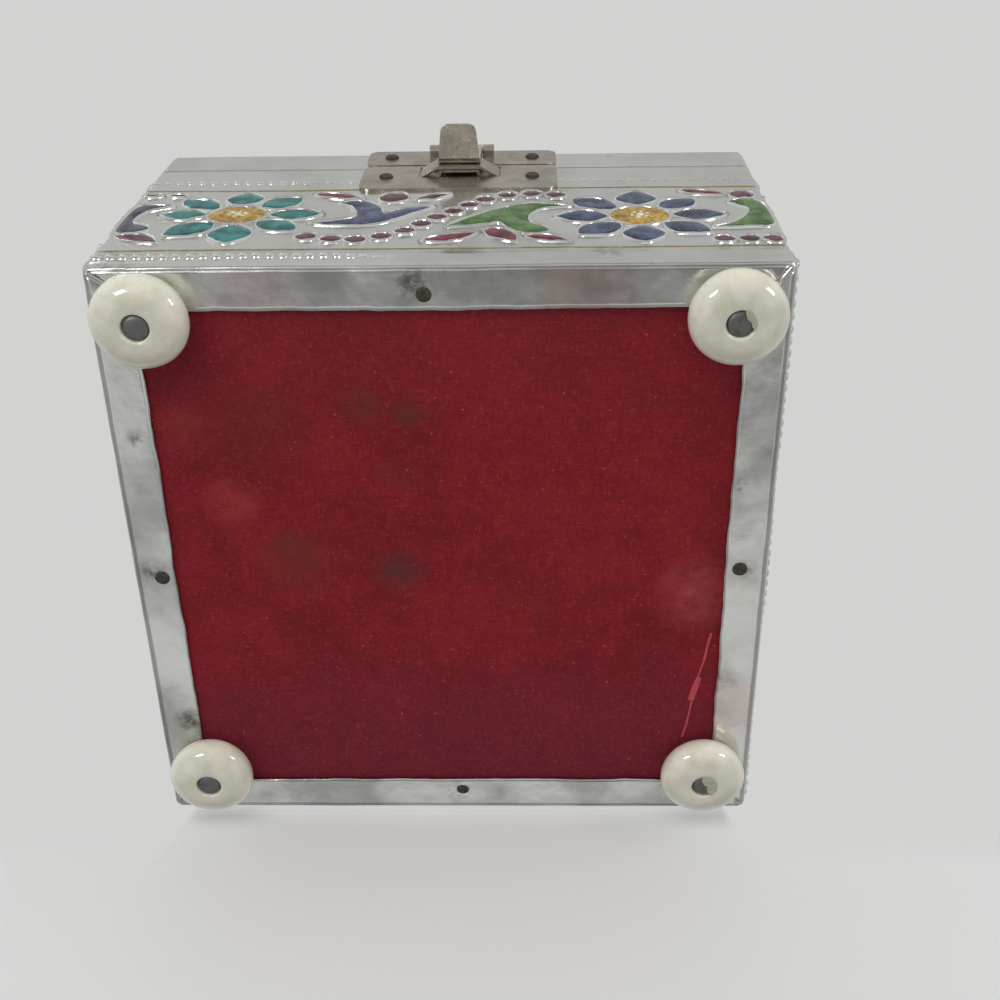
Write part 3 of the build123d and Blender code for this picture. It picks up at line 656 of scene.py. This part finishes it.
def gold_lines(paint):
    parts = []
    steps, end = 100, HALF - 0.9
    for number, side in enumerate(OUTWARD):
        for rise in GOLD_RISES:
            path = []
            for i in range(steps + 1):
                across = -end + i * 2 * end / steps
                path.append((across, rise + 0.18 * jitter(across, number * 17, rise, 11, 4.4)))
            parts.append(ribbon(wall(side), path, 0.62, 0.10))
    piece("base_gold_lines", merge(parts), "base", paint)


# Enamel cells


def leaf(root, tip, width, bend=0.0, full=0.75, swell=0.82, steps=12):
    """Closed outline of a pointed leaf or petal between two points."""
    (ax, ay), (bx, by) = root, tip
    length = hypot(bx - ax, by - ay)
    nx, ny = -(by - ay) / length, (bx - ax) / length
    left, right = [], []
    for i in range(1, steps):
        t = i / steps
        half = width / 2 * sin(pi * t ** swell) ** full
        sag = bend * 4 * t * (1 - t)
        cx, cy = ax + (bx - ax) * t + nx * sag, ay + (by - ay) * t + ny * sag
        left.append((cx + nx * half, cy + ny * half))
        right.append((cx - nx * half, cy - ny * half))
    return [root] + right + [tip] + left[::-1]


def drop(centre, radius_across, radius_along, steps=20):
    """Closed outline of a slightly uneven oval."""
    outline = []
    for i in range(steps):
        c, s = cos(2 * pi * i / steps), sin(2 * pi * i / steps)
        wobble = 1 + 0.05 * jitter(centre[0] + 3 * c, centre[1] + 3 * s, 0, 2)
        outline.append((centre[0] + radius_across * c * wobble, centre[1] + radius_along * s * wobble))
    return outline


def spline(corners, steps=5):
    """Closed smooth outline through a few corners."""
    outline = []
    count = len(corners)
    for i in range(count):
        near = [corners[(i + k) % count] for k in (-1, 0, 1, 2)]
        for j in range(steps):
            t = j / steps
            outline.append(tuple(
                0.5 * (2 * b + (c - a) * t + (2 * a - 5 * b + 4 * c - d) * t * t
                       + (3 * b - a - 3 * c + d) * t ** 3) for a, b, c, d in zip(*near)))
    return outline


def offset(outline, distance):
    """Outline moved outwards by a distance, with limited corners."""
    following = outline[1:] + outline[:1]
    area = sum(ax * by - bx * ay for (ax, ay), (bx, by) in zip(outline, following))
    sign = 1 if area > 0 else -1
    moved = []
    for (ax, ay), (bx, by), (cx, cy) in zip(outline[-1:] + outline, outline, following):
        ux, uy = bx - ax, by - ay
        vx, vy = cx - bx, cy - by
        lu, lv = hypot(ux, uy) or 1.0, hypot(vx, vy) or 1.0
        nx, ny = uy / lu + vy / lv, -ux / lu - vx / lv
        size = hypot(nx, ny) or 1.0
        reach = min(2 / size, 1.7) * distance * sign
        moved.append((bx + nx / size * reach, by + ny / size * reach))
    return moved


def edge_distance(x, y, outline):
    """(distance from a point to an outline, whether the point is inside it)."""
    best, inside = 1e9, False
    for (ax, ay), (bx, by) in zip(outline, outline[1:] + outline[:1]):
        dx, dy = bx - ax, by - ay
        t = clamp(((x - ax) * dx + (y - ay) * dy) / (dx * dx + dy * dy or 1.0))
        best = min(best, hypot(x - ax - t * dx, y - ay - t * dy))
        if (ay > y) != (by > y) and x < ax + (y - ay) / (by - ay) * dx:
            inside = not inside
    return best, inside


def dome(outline, place, sink=0.06, crown=0.24, step=0.6):
    """Glass filling of a cell: a shallow cushion, rounded down to its rim."""
    points = [Vector(p) for p in outline]
    edges = [(i, (i + 1) % len(points)) for i in range(len(points))]
    xs, ys = zip(*outline)
    row, y = 0, min(ys) + step / 3
    while y < max(ys):
        x = min(xs) + (step / 2 if row % 2 else step / 5)
        while x < max(xs):
            away, inside = edge_distance(x, y, outline)
            if inside and away > step * 0.45:
                points.append(Vector((x, y)))
            x += step
        y += step * 0.87
        row += 1
    flat, _, triangles, _, _, _ = geometry.delaunay_2d_cdt(points, edges, [], 1, 1e-4)
    made = []
    for p in flat:
        rise = min(1.0, edge_distance(p.x, p.y, outline)[0] / 1.5)
        made.append(place(p.x, p.y, sink + crown * sqrt(1 - (1 - rise) ** 2)))
    return made, [tuple(t) for t in triangles]


def rim(outline, place):
    """Raised metal rim round a cell."""
    rows = ((-0.14, 0.02), (-0.04, 0.30), (0.10, 0.40), (0.23, 0.27), (0.37, -0.12))
    points = []
    for distance, height in rows:
        for a, b in offset(outline, distance):
            lift = height * (1 + 0.4 * jitter(a, b, 0, 1.3, 6.6) + 0.2 * jitter(a, b, 0, 0.5, 3.6))
            points.append(place(a, b, lift if height > 0 else height))
    return points, grid_faces(len(rows), len(outline), closed=True)


def petals(centre, tips, width, core=4.5):
    """Petal outlines from a flower's core to each tip, kept clear of their neighbours."""
    outlines = []
    turns = [atan2(tip[1] - centre[1], tip[0] - centre[0]) for tip in tips]
    for tip, turn in zip(tips, turns):
        dx, dy = tip[0] - centre[0], tip[1] - centre[1]
        size = hypot(dx, dy)
        gap = min(abs(remainder(turn - other, 2 * pi)) for other in turns if other != turn)
        room = (core + size) * sin(gap / 2) * 0.94
        root = (centre[0] + dx / size * core, centre[1] + dy / size * core)
        outlines.append(leaf(root, tip, min(width, room), full=0.85, swell=0.96, steps=14))
    return outlines


def star(centre, reach, turn=0.0):
    """Eight petal tips round a centre."""
    return [(centre[0] + reach * cos(radians(a) + turn), centre[1] + reach * sin(radians(a) + turn))
            for a in range(0, 360, 45)]


def band_cells():
    """Cells of one wall's band, by colour; every wall repeats the same traditional flowers."""
    one, two = (-32, 22.4), (29.6, 20.6)
    first_tips = (
        (-18.8, 22.7), (-23.2, 31.2), (-32.4, 33.9), (-41.9, 30.2), (-44.2, 22.6), (-41.2, 12.4),
        (-31.3, 8.9), (-22, 14.6),
    )
    second_tips = (
        (42.8, 21), (38.6, 28.6), (29.6, 32.9), (19.6, 29.2), (16.6, 20.3), (20.1, 11.6),
        (29.6, 8.2), (39.4, 12.2),
    )
    chain = (
        (-20, 12), (-16.2, 10.9), (-12.6, 10.6), (-8.9, 11.9), (-5.6, 14.1), (-3.4, 17.3),
        (-1.2, 20.4), (1.3, 23.2), (3.6, 26.3), (6, 29), (9.4, 30.9), (13.2, 31.6), (17, 31),
        (41, 9.5), (44.7, 9.6), (48, 9.4),
    )
    dots = [drop(point, 1.65, 1.75) for point in chain]
    dots += [drop((-8.6, 30.4), 2.4, 2.6), drop((46.2, 30.4), 2, 2.2)]
    dots += [leaf((-5.2, 29.2), (0.6, 32.4), 2.6), leaf((-49, 32.2), (-45.8, 32.4), 2),
             leaf((-45.2, 32.4), (-41.6, 32), 2), leaf((-48.6, 13.2), (-41.6, 9.6), 3.4, 0.6)]
    scroll = (
        (-20.4, 18), (-15.6, 16.9), (-10.4, 17.4), (-6.4, 20.6), (-1.8, 25.8), (-6.8, 24.8),
        (-9.4, 23), (-10.6, 26.6), (-13.8, 29.2), (-17, 27.9), (-14.6, 25.6), (-13.6, 21.8),
        (-15.9, 19.9),
    )
    wing = (
        (0.4, 15.8), (4, 20.8), (8.6, 25), (13.3, 27), (19.4, 25.6), (14.9, 24.2), (12.9, 21.2),
        (13, 17.8), (15.4, 15.4), (15.4, 12.9), (12.4, 12.4), (10, 14.4), (8.4, 17.4), (5.4, 16.8),
    )
    curl = (
        (-48.9, 14.6), (-49.1, 24), (-47.6, 27.6), (-42.8, 27), (-46.6, 23.8), (-47.4, 19.2),
        (-44.6, 17.2), (-44.8, 14.6),
    )
    tail = (
        (39.6, 14.9), (43.6, 17.6), (46.4, 22.8), (43.6, 26.9), (47.2, 28.4), (49.2, 25),
        (49.2, 16.2), (45, 14.8),
    )
    return {
        "teal": petals(one, first_tips, 6.7),
        "slate": petals(two, second_tips, 6.7),
        "gold": [drop(one, 4.5, 4.5, steps=28), drop(two, 4.6, 4.5, steps=28)],
        "blue": [spline(scroll)],
        "green": [spline(wing), spline(tail)],
        "violet": [spline(curl)],
        "plum": dots,
        "wine": [leaf((-21.6, 33), (-13.2, 30.2), 2.9), leaf((-3, 9.8), (5.4, 13.4), 3.3, -0.5),
                 leaf((6.8, 15.2), (10.8, 9), 4), leaf((12.2, 11.6), (18.8, 8.9), 2.9, 0.3),
                 leaf((36.6, 33), (44.2, 30.6), 2.7)],
    }


def lid_cells():
    """Cells of the lid's top: a large flower, four smaller ones, scrolls and dots."""
    middle = (0, 0)
    wing = (
        (13.6, 20.4), (10, 24), (3.6, 25.2), (-3.4, 23), (-0.6, 27.8), (-5.8, 31.4), (0.2, 33),
        (5.8, 29), (11.4, 27.6),
    )
    cells = {colour: [] for colour in ENAMELS}
    cells["teal"] += petals(middle, star(middle, 17), 8.2, core=5.9)
    cells["gold"].append(drop(middle, 5.7, 5.7, steps=32))
    for quarter in range(4):
        turn = quarter * pi / 2

        def spin(*point):
            return rotated(point, turn)
        heart = spin(25.5, 25.5)
        cells["slate"] += petals(heart, star(heart, 9.6, turn), 4.8, core=3.4)
        cells["gold"].append(drop(heart, 3.3, 3.3, steps=24))
        cells["green" if quarter % 2 else "blue"].append(spline([spin(*p) for p in wing]))
        cells["plum"] += [drop(spin(-12.2 + 4.0 * i, 35.2), 1.5, 1.5) for i in range(7)]
        cells["plum"].append(drop(spin(-9.4, 21.4), 1.6, 1.6))
        cells["wine"] += [leaf(spin(-12.6, 24.2), spin(-7.2, 28.6), 3.2),
                          leaf(spin(6.2, 20.8), spin(0.2, 20.4), 2.6)]
    return cells


def pearl_drops(heart, place):
    """Small pale drops (across, along, radius) on a flower's heart."""
    middle = [sum(p[k] for p in heart) / len(heart) for k in (0, 1)]
    for across, along, radius in ((0.1, -0.1, 0.72), (1.15, 0.45, 0.5), (-0.8, 0.85, 0.55),
                                  (0.3, 1.25, 0.42), (-1.2, -0.35, 0.45), (-0.3, -1.2, 0.5),
                                  (0.95, -0.8, 0.42)):
        blob = drop((middle[0] + across, middle[1] + along), radius, radius, steps=12)
        yield dome(blob, place, sink=0.22, crown=0.42, step=0.3)


def enamel_pieces(body, groups, metal, paints):
    """One piece a colour for the glass, and one for all the rims."""
    rims, pearls = [], []
    glass = {colour: [] for colour in ENAMELS}
    for place, cells in groups:
        for colour, outlines in cells.items():
            for outline in outlines:
                glass[colour].append(dome(outline, place))
                rims.append(rim(outline, place))
                if colour == "gold":
                    pearls += pearl_drops(outline, place)
    for colour, parts in glass.items():
        if parts:
            piece(f"{body}_enamel_{colour}", merge(parts), body, paints[colour])
    piece(f"{body}_enamel_pearls", merge(pearls), body, paints["pearl"])
    piece(f"{body}_enamel_rims", merge(rims), body, metal)


def lid_top_edging(metal, paint):
    """Bead row and gold line round the top of the lid."""
    half, count = 43.0, 46
    parts = []
    for quarter in range(4):
        for i in range(count):
            x, y = rotated((-half + i * 2 * half / count, -half), quarter * pi / 2)

            def place(a, b, up):
                return on_lid_top(x + a, y + b, up - 0.05)
            parts.append(bead(place, 0.62, 0.42))
    piece("lid_beading", merge(parts), "lid", metal)
    line = [(x, y) for x, y, _, _ in ring_points(40.2, 2.0, per_side=40)]
    piece("lid_gold_line", ribbon(on_lid_top, line, 0.85, 0.12, closed=True), "lid",
          paint)


# Cloth and beads


def underside_panel(cloth):
    """Cloth of the underside, drawn tight and tucked under the border."""
    low = 6.42
    rings = [(44.9, 0.5, 6.78), (44.9, 0.5, 6.5)]
    rings += [(half, 0.5, low) for half in (44.2, 43.0, 41.5, 40, *range(38, 1, -2))]

    def shift(x, y, z, half):
        if z > 6.6:
            return 0.0, 0.0
        inside = clamp((43.6 - half) / 3)
        swell = -0.10 * inside * (1 - (half / 44) ** 4)
        return 0.0, swell + inside * (0.05 * jitter(x, y, 0, 8, 2.0) + 0.03 * jitter(x, y, 0, 2, 9.0))

    obj = piece("underside_panel", ring_shell(rings, shift), "base", cloth)
    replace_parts(obj, "underside_felt")


def loose_thread(paint):
    """Frayed thread stuck to the cloth near one foot, with a small tuft in its middle."""
    line = [(42, 15.7), (41.6, 18), (41.3, 20.8), (40.7, 23.6), (40.1, 26.4), (39.7, 29),
            (39.4, 31.6), (39, 34.4), (38.5, 37.2)]
    tuft = [(40.6, 24.6), (40.3, 25.8), (40, 27), (39.7, 28.2), (39.5, 29.4)]

    def place(a, b, up):
        return a + 0.2 * jitter(a, b, 0, 1.6), b, BOTTOM_Z + 0.40 - up
    strands = merge([ribbon(place, line, 0.34, 0.16), ribbon(place, tuft, 0.95, 0.20)])
    piece("underside_thread", strands, "base", paint)


def tray_lining(name, body, floor_z, rim_z, nodes, cloth):
    """Cloth pasted into a tray: floor, four walls and the soft folds where they meet."""
    up = 1 if rim_z > floor_z else -1
    half, thick, round_off = 44.45, 0.75, 1.6
    depth = abs(rim_z - floor_z)
    flat_half = half - thick - round_off
    inner = [(h, 0.8, floor_z + up * thick) for h in (2, 8, 14, 20, 26, 32, 37, 40)]
    inner.append((flat_half, 1.4, floor_z + up * thick))
    inner += [(flat_half + round_off * sin(turn), 1.8,
               floor_z + up * (thick + round_off * (1 - cos(turn)))) for turn in bend(4)]
    steps = 8 if depth > 20 else 3
    start = thick + round_off
    for i in range(1, steps + 1):
        inner.append((half - thick, 1.8, floor_z + up * (start + (depth - start - 0.3) * i / steps)))
    inner += [(half - thick / 2, 1.6, rim_z), (half, 1.4, rim_z - up * 0.3)]
    outer = [(half, 1.4, floor_z + up * 0.6), (half - 0.4, 1.2, floor_z + up * 0.05)]

    def shift(x, y, z, here):
        if here > half - 0.2 or abs(z - floor_z) < 0.3:
            return 0.0, 0.0
        soft = abs(0.10 * jitter(x, y, z, 9, 3.3) + 0.05 * jitter(x, y, z, 3, 7.3))
        on_floor = here < half - thick - 0.5 and abs(z - floor_z) < thick + 0.4
        return (0.0, up * soft) if on_floor else (-soft, 0.0)

    shell = ring_shell(inner + outer, shift, per_side=36)
    obj = piece(name, shell, body, cloth)
    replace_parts(obj, *nodes)


def foot_places():
    """(name, x, y) of each foot."""
    for name in FEET:
        low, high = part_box(name)
        yield name, (low.x + high.x) / 2 / MM, (low.y + high.y) / 2 / MM


def bead_profile():
    """Outline of a rondelle bead, with its bore and the seat of its nail."""
    radius, tall, belly, top, sole, bore = 7.05, 5.98, 2.75, 4.4, 2.9, 1.15
    shoulder = tall - 0.02
    profile = [(bore, tall), (3.0, tall), (top, shoulder)]
    profile += [(top + (radius - top) * sin(turn), belly + (shoulder - belly) * cos(turn))
                for turn in bend(12)]
    profile += [(sole + (radius - sole) * cos(turn), belly - belly * sin(turn))
                for turn in bend(16)[:-1]]
    return profile + [(2.6, 0.0), (2.3, 0.02), (2.14, 0.08), (2.06, 0.2), (2.02, 0.5), (1.98, 0.84),
                      (1.6, NAIL_SEAT), (bore, NAIL_SEAT), (bore, tall)]


def foot_beads(glass, flake_paint):
    """Rondelle beads, each a little different, two with a broken flake over the nail."""
    flakes = {
        "foot_front_right": ((2.2, -80), (2.25, -55), (2.2, -25), (2.25, 0), (2.1, 24), (1.6, 12),
                             (1.35, -20), (1.1, -42), (1.5, -66)),
        "foot_back_right": ((2.35, -100), (2.3, -60), (2.3, -20), (2.32, 20), (2.35, 55), (1.2, 62),
                            (0.5, 20), (0.75, -30), (0.35, -75), (1.3, -110)),
    }
    for number, (name, x, y) in enumerate(foot_places()):

        def shift(a, b, c):
            swell = 1 + 0.012 * jitter(a, b, c + 20 * number, 5, 1.1)
            if name in flakes and c < 1.2:
                c += 0.20 * max(0.0, jitter(a, b, c, 1.6, 4.9)) * max(0.0, 1 - hypot(a, b) / 4)
            return a * swell, b * swell, c
        shape = lathe(bead_profile(), (x, y, 0.0), 72, shift)
        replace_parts(piece(f"bead_{name[5:]}", shape, "base", glass), name)
        if name in flakes:
            flake_of_glass(f"bead_{name[5:]}_flake", x, y, flakes[name], flake_paint)


def flake_of_glass(name, x, y, outline, paint):
    """Broken flake that still hangs over part of a nail head; its outline is (radius, degrees)."""
    top, bottom = [], []
    for radius, angle in outline:
        a, b = radius * cos(radians(angle)), radius * sin(radians(angle))
        top.append((x + a, y + b, 0.02 + 0.05 * jitter(a, b, 0, 0.8)))
        bottom.append((x + a, y + b, 0.24 + 0.04 * jitter(a, b, 4, 0.8)))
    count = len(top)
    middle = [sum(p[k] for p in top) / count for k in (0, 1)]
    points = top + bottom + [(*middle, -0.03), (*middle, 0.26)]
    around = [(i, (i + 1) % count) for i in range(count)]
    faces = [(i, j, count + j, count + i) for i, j in around]
    faces += [(2 * count, j, i) for i, j in around]
    faces += [(2 * count + 1, count + i, count + j) for i, j in around]
    piece(name, (points, faces), "base", paint, smooth=False)


def nail_head(centre, radius, height, seed):
    """Hammered nail head hanging below its seat."""
    profile = [(0.02, height * 0.92), (radius * 0.35, height), (radius * 0.7, height * 0.96),
               (radius * 0.9, height * 0.72), (radius, height * 0.38), (radius, -0.15),
               (radius * 0.4, -0.3), (0.02, -0.3)]

    def shift(a, b, c):
        rough = 1 + 0.02 * jitter(a, b, seed, 0.9, 2.0)
        lift = 0.04 * jitter(a, b, seed + 5, 1.5, 3.0) if c > height * 0.5 else 0.0
        return a * rough, b * rough, -(c + lift)
    return lathe(profile, centre, 28, shift)


def nail_heads(dull, dark):
    """Heads of the feet's nails and of the border's tacks."""
    feet = [nail_head((x, y, NAIL_SEAT), 1.94, 0.72, number * 3.0)
            for number, (_, x, y) in enumerate(foot_places())]
    tacks = [nail_head((x, y, BOTTOM_Z - 0.05), 1.2, 0.3, number * 7.0)
             for number, (x, y) in enumerate(TACKS)]
    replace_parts(piece("foot_nail_heads", merge(feet), "base", dull), "foot_nails")
    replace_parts(piece("border_tack_heads", merge(tacks), "base", dark), "border_tacks")


def repaint(paints):
    """Give every node that stays its finished material."""
    kinds = {"catch_clip": "bright", "latch_lever": "lever", "latch_pin": "plate",
             "latch_plate": "plate", "strike_plate": "plate", "latch_plate_nails": "tack",
             "strike_nails": "tack"}
    for name, obj in frame["nodes"].items():
        if not obj.hide_render:
            kind = kinds.get(name, "plate" if name.startswith("hinge") else "wood")
            obj.data.materials.clear()
            obj.data.materials.append(paints[kind])


# Floor, light and camera


def floor_paint(name, fade_from=None, fade_to=None):
    """Pale matt floor that only its front side shows; it melts into the backdrop further out.

    Beside the box the fade heights sink below the level of its feet."""
    far_from, far_to, beside_from, sink = 90.0, 330.0, 46.0, 3.0
    paint = Paint(name, Base_Color=linear(204, 205, 204), Roughness=0.9, Specular_IOR_Level=0.1)
    place = paint.add("NewGeometry").outputs

    def fade(hidden, source, low, high):
        return paint.math("MAXIMUM", hidden, paint.ramp(source, low * MM, high * MM))

    away = paint.add("VectorMath", {0: place["Position"]}, operation="LENGTH").outputs["Value"]
    hidden = fade(place["Backfacing"], away, far_from, far_to)
    if fade_from is not None:
        split = paint.add("SeparateXYZ", {0: place["Position"]}).outputs
        beside = split["X"]
        for how, value in (("ABSOLUTE", 0.0), ("SUBTRACT", beside_from * MM), ("MAXIMUM", 0.0),
                           ("MULTIPLY", sink), ("MINIMUM", fade_to * MM)):
            beside = paint.math(how, beside, value)
        hidden = fade(hidden, paint.math("ADD", split["Z"], beside), fade_from, fade_to)
    mix = paint.add("MixShader", {"Fac": hidden, 1: paint.shader.outputs["BSDF"],
                                  2: paint.add("BsdfTransparent").outputs["BSDF"]})
    paint.links.new(mix.outputs["Shader"], paint.nodes["Material Output"].inputs["Surface"])
    return paint.material


def plane(name, near, far, material):
    """Wide plane between two lines (y, z) that only the camera sees."""
    reach = 2500
    corners = [(-reach, *near), (reach, *near), (reach, *far), (-reach, *far)]
    mesh = bpy.data.meshes.new(name)
    mesh.from_pydata([tuple(c * MM for c in corner) for corner in corners], [], [(0, 1, 2, 3)])
    obj = add_object(name, mesh, material)
    obj.visible_diffuse = False
    obj.visible_glossy = False
    obj.visible_transmission = False
    obj.visible_shadow = False


def floors():
    """The floor the box stands on, seen from above, and the surface its back lies on in the photo."""
    plane("floor_upright", (-2500, 0), (2500, 0), floor_paint("floor_upright"))
    slope = tan(radians(4.06))
    near, far = [(52.8 + (z - BOTTOM_Z) * slope, z) for z in (-1500.0, 120.0)]
    plane("floor_behind", near, far, floor_paint("floor_behind", fade_from=-1, fade_to=9))


def world():
    """Pale surroundings: plain for the eye, softly graded for what metal mirrors."""
    made = bpy.data.worlds.new("pale_world")
    bpy.context.scene.world = made
    made.use_nodes = True
    made.node_tree.nodes.clear()
    sky = Graph(made.node_tree)
    split = sky.add("SeparateXYZ", {0: sky.add("TexCoord").outputs["Generated"]})
    height = sky.add("MapRange", {"Value": split.outputs["Z"], "From Min": -1.0})
    tones = sky.add("ValToRGB", {"Fac": height.outputs["Result"]})
    first, last = tones.color_ramp.elements
    first.position, first.color = 0.0, linear(130, 130, 129)
    last.position, last.color = 1.0, linear(182, 183, 181)
    for position, tone in ((0.038, 136), (0.066, 194), (0.12, 208), (0.16, 182), (0.26, 134),
                           (0.38, 138), (0.5, 188), (0.62, 192), (0.8, 188)):
        tones.color_ramp.elements.new(position).color = linear(tone, tone + 1, tone)
    ambient = sky.add("Background", {"Color": (1.0, 1.0, 0.99, 1.0), "Strength": 0.50})
    mirrored = sky.add("Background", {"Color": tones.outputs["Color"]})
    seen = sky.add("Background", {"Color": linear(210, 210, 209)})
    path = sky.add("LightPath").outputs
    bounce = sky.math("MAXIMUM", path["Is Glossy Ray"], path["Is Transmission Ray"])
    lit = sky.add("MixShader", {"Fac": bounce, 1: ambient.outputs[0], 2: mirrored.outputs[0]})
    whole = sky.add("MixShader", {"Fac": path["Is Camera Ray"], 1: lit.outputs[0],
                                  2: seen.outputs[0]})
    sky.add("OutputWorld", {"Surface": whole.outputs[0]})


def lamp(name, place, size, power):
    """Soft square lamp aimed at the box; power in watts."""
    data = bpy.data.lights.new(name, "AREA")
    data.shape = "RECTANGLE"
    data.size, data.size_y = size[0] * MM, size[1] * MM
    data.energy = power
    obj = add_object(name, data)
    obj.location = tuple(c * MM for c in place)
    toward = Vector([(b - a) * MM for a, b in zip(place, (0, CENTRE_Y, 30))])
    obj.rotation_euler = toward.to_track_quat("-Z", "Y").to_euler()
    return obj


def lights():
    """Large soft lamps that mirrors don't show, and small windows that only give the glints."""
    for name, place, size, power in (
        ("front_soft", (-160, -700, -260), (700, 500), 4.0),
        ("side_soft", (620, -260, 40), (600, 500), 1.5),
        ("top_soft", (-60, 60, 760), (800, 800), 3.6),
        ("back_soft", (160, 720, 260), (600, 500), 2.1),
        ("left_soft", (-640, 60, 160), (600, 500), 1.4),
    ):
        lamp(name, place, size, power).visible_glossy = False
    for name, place, size, power in (
        ("window_left", (-260, -257, -334), (124, 78), 0.50),
        ("window_right", (385, -216, -188), (104, 74), 0.36),
        ("window_high", (-260, -300, 420), (90, 60), 0.04),
    ):
        lamp(name, place, size, power).visible_diffuse = False


def camera():
    """Camera at the photo's place, angle and focal length."""
    data = bpy.data.cameras.new("camera")
    data.sensor_width = 36.0
    data.lens = 48.09
    data.clip_start = 0.001
    obj = add_object("camera", data)
    obj.location = (12.96 * MM, -111.06 * MM, -170.83 * MM)
    obj.rotation_euler = [radians(a) for a in (150.107, -1.051, 0.854)]
    bpy.context.scene.camera = obj


# Colours, stains, painted reflections and painted shadows

GLAZES = {
    "teal": ((24, 78, 80), (58, 128, 124)),
    "slate": ((40, 48, 70), (78, 90, 114)),
    "gold": ((150, 112, 40), (190, 158, 76), (92, 84, 38)),
    "blue": ((50, 56, 78), (88, 94, 122)),
    "green": ((54, 84, 44), (92, 122, 70)),
    "violet": ((50, 50, 66), (84, 84, 104)),
    "plum": ((64, 34, 42), (108, 70, 78)),
    "wine": ((74, 24, 38), (124, 54, 68)),
    "pearl": ((184, 176, 146), (216, 210, 190)),
}
ENAMELS = [name for name in GLAZES if name != "pearl"]
# Pink painted reflection of the red underside cloth, laid on the border metal.
ROSY_REFLECTION = (206, 150, 146)
GRIME = (92, 84, 74)
SHADOW = (70, 60, 52)
BORDER_STAINS = [(x, y, BOTTOM_Z, radius, strength, GRIME) for x, y, radius, strength in (
    (-3.6, -44.6, 3.6, 0.8), (0.2, 49.2, 3, 0.6), (-47, 3.2, 3, 0.8), (46.5, 3.5, 3, 0.5),
    (-45, 33.5, 3.4, 0.9), (44.6, -12, 1.6, 0.9), (-46, -20, 2.6, 0.7), (44.6, 25, 3, 0.5),
)]
# Smooth patches on the border: painted pink reflections and one patch of grime.
BORDER_REFLECTIONS_AND_GRIME = [(x, y, BOTTOM_Z, radius, strength, tone) for x, y, radius, strength, tone in (
    (-26, -45, 9, 0.22, ROSY_REFLECTION), (20, -44, 10, 0.30, ROSY_REFLECTION), (-16, -46, 6, 0.25, GRIME),
    (46.5, 30, 9, 0.25, ROSY_REFLECTION),
)]
SEAM_STAINS = [(-46, -47.2, BOTTOM_Z + 2, 5, 0.4, GRIME),
               (24, -47.2, BOTTOM_Z + 4.5, 4, 0.5, GRIME)]
# Painted shadow on the wall metal behind the latch, on the base and on the lid strip.
LATCH_PAINTED_SHADOWS = [(LATCH_X, -47.2, 51, 7.5, 0.92, SHADOW), (LATCH_X, -47.2, 55.5, 5.5, 0.85, SHADOW)]


# Assembly

wall_metal = sheet_metal("wall_metal", (238, 238, 234), (214, 213, 208), 0.6,
                         stains=SEAM_STAINS, grime_and_painted_light=LATCH_PAINTED_SHADOWS)
border_metal = sheet_metal("border_metal", (234, 234, 231), (190, 190, 187), 0.9,
                           depth=0.045, specks=0.8, stains=BORDER_STAINS, grime_and_painted_light=BORDER_REFLECTIONS_AND_GRIME)
rim_metal = sheet_metal("rim_metal", (250, 250, 248), (222, 222, 218), 0.8,
                        depth=0.02, specks=0.0)
gold = gold_paint()
glass_paints = {name: enamel(f"enamel_{name}", *tones) for name, tones in GLAZES.items()}

base_skin(wall_metal)
border_flaps(border_metal)
lid_skin(wall_metal)
beading(rim_metal)
gold_lines(gold)
enamel_pieces("base", [(wall(side), band_cells()) for side in OUTWARD], rim_metal, glass_paints)
enamel_pieces("lid", [(on_lid_top, lid_cells())], rim_metal, glass_paints)
lid_top_edging(rim_metal, gold)

underside_panel(underside_cloth())
loose_thread(thread_paint())
plush = lining_cloth()
tray_lining("base_lining", "base", 11.45, 52.7,
            ("floor_lining", "base_lining_front", "base_lining_back", "base_lining_left",
             "base_lining_right"), plush)
tray_lining("lid_lining_cloth", "lid", 60.55, 53.9,
            ("lid_lining", "lid_rim_lining_front", "lid_rim_lining_back", "lid_rim_lining_left",
             "lid_rim_lining_right"), plush)

foot_beads(milk_glass(), chipped_glass())
dull_steel = steel("dull_steel", 0.85, (1.5, 4, 0.6), (0.5, 0.74), (120, 121, 120),
                   (92, 90, 87), (0.48, 0.62), (0.9, 3, 0.6), 0.02)
tack_steel = steel("tack_steel", 0.6, (0.5, 4, 0.7), (0.4, 0.65), (62, 58, 54),
                   (96, 88, 76), (0.5, 0.8), (0.4, 4, 0.7), 0.08)
bright_steel = steel("bright_steel", 1.0, (1.2, 3, 0.6), (0.45, 0.7), (222, 214, 204),
                     (164, 146, 128), (0.12, 0.3), (0.9, 2, 0.5), 0.08)
nail_heads(dull_steel, tack_steel)
repaint({"bright": bright_steel, "tack": tack_steel, "wood": carcass_wood(),
         "plate": latch_nickel("plate_nickel", (192, 184, 173), (164, 154, 142), 0.20),
         "lever": latch_nickel("lever_nickel", (222, 213, 200), (190, 179, 165), 0.15)})

floors()
world()
lights()
camera()
bpy.context.scene.view_settings.view_transform = "Standard"
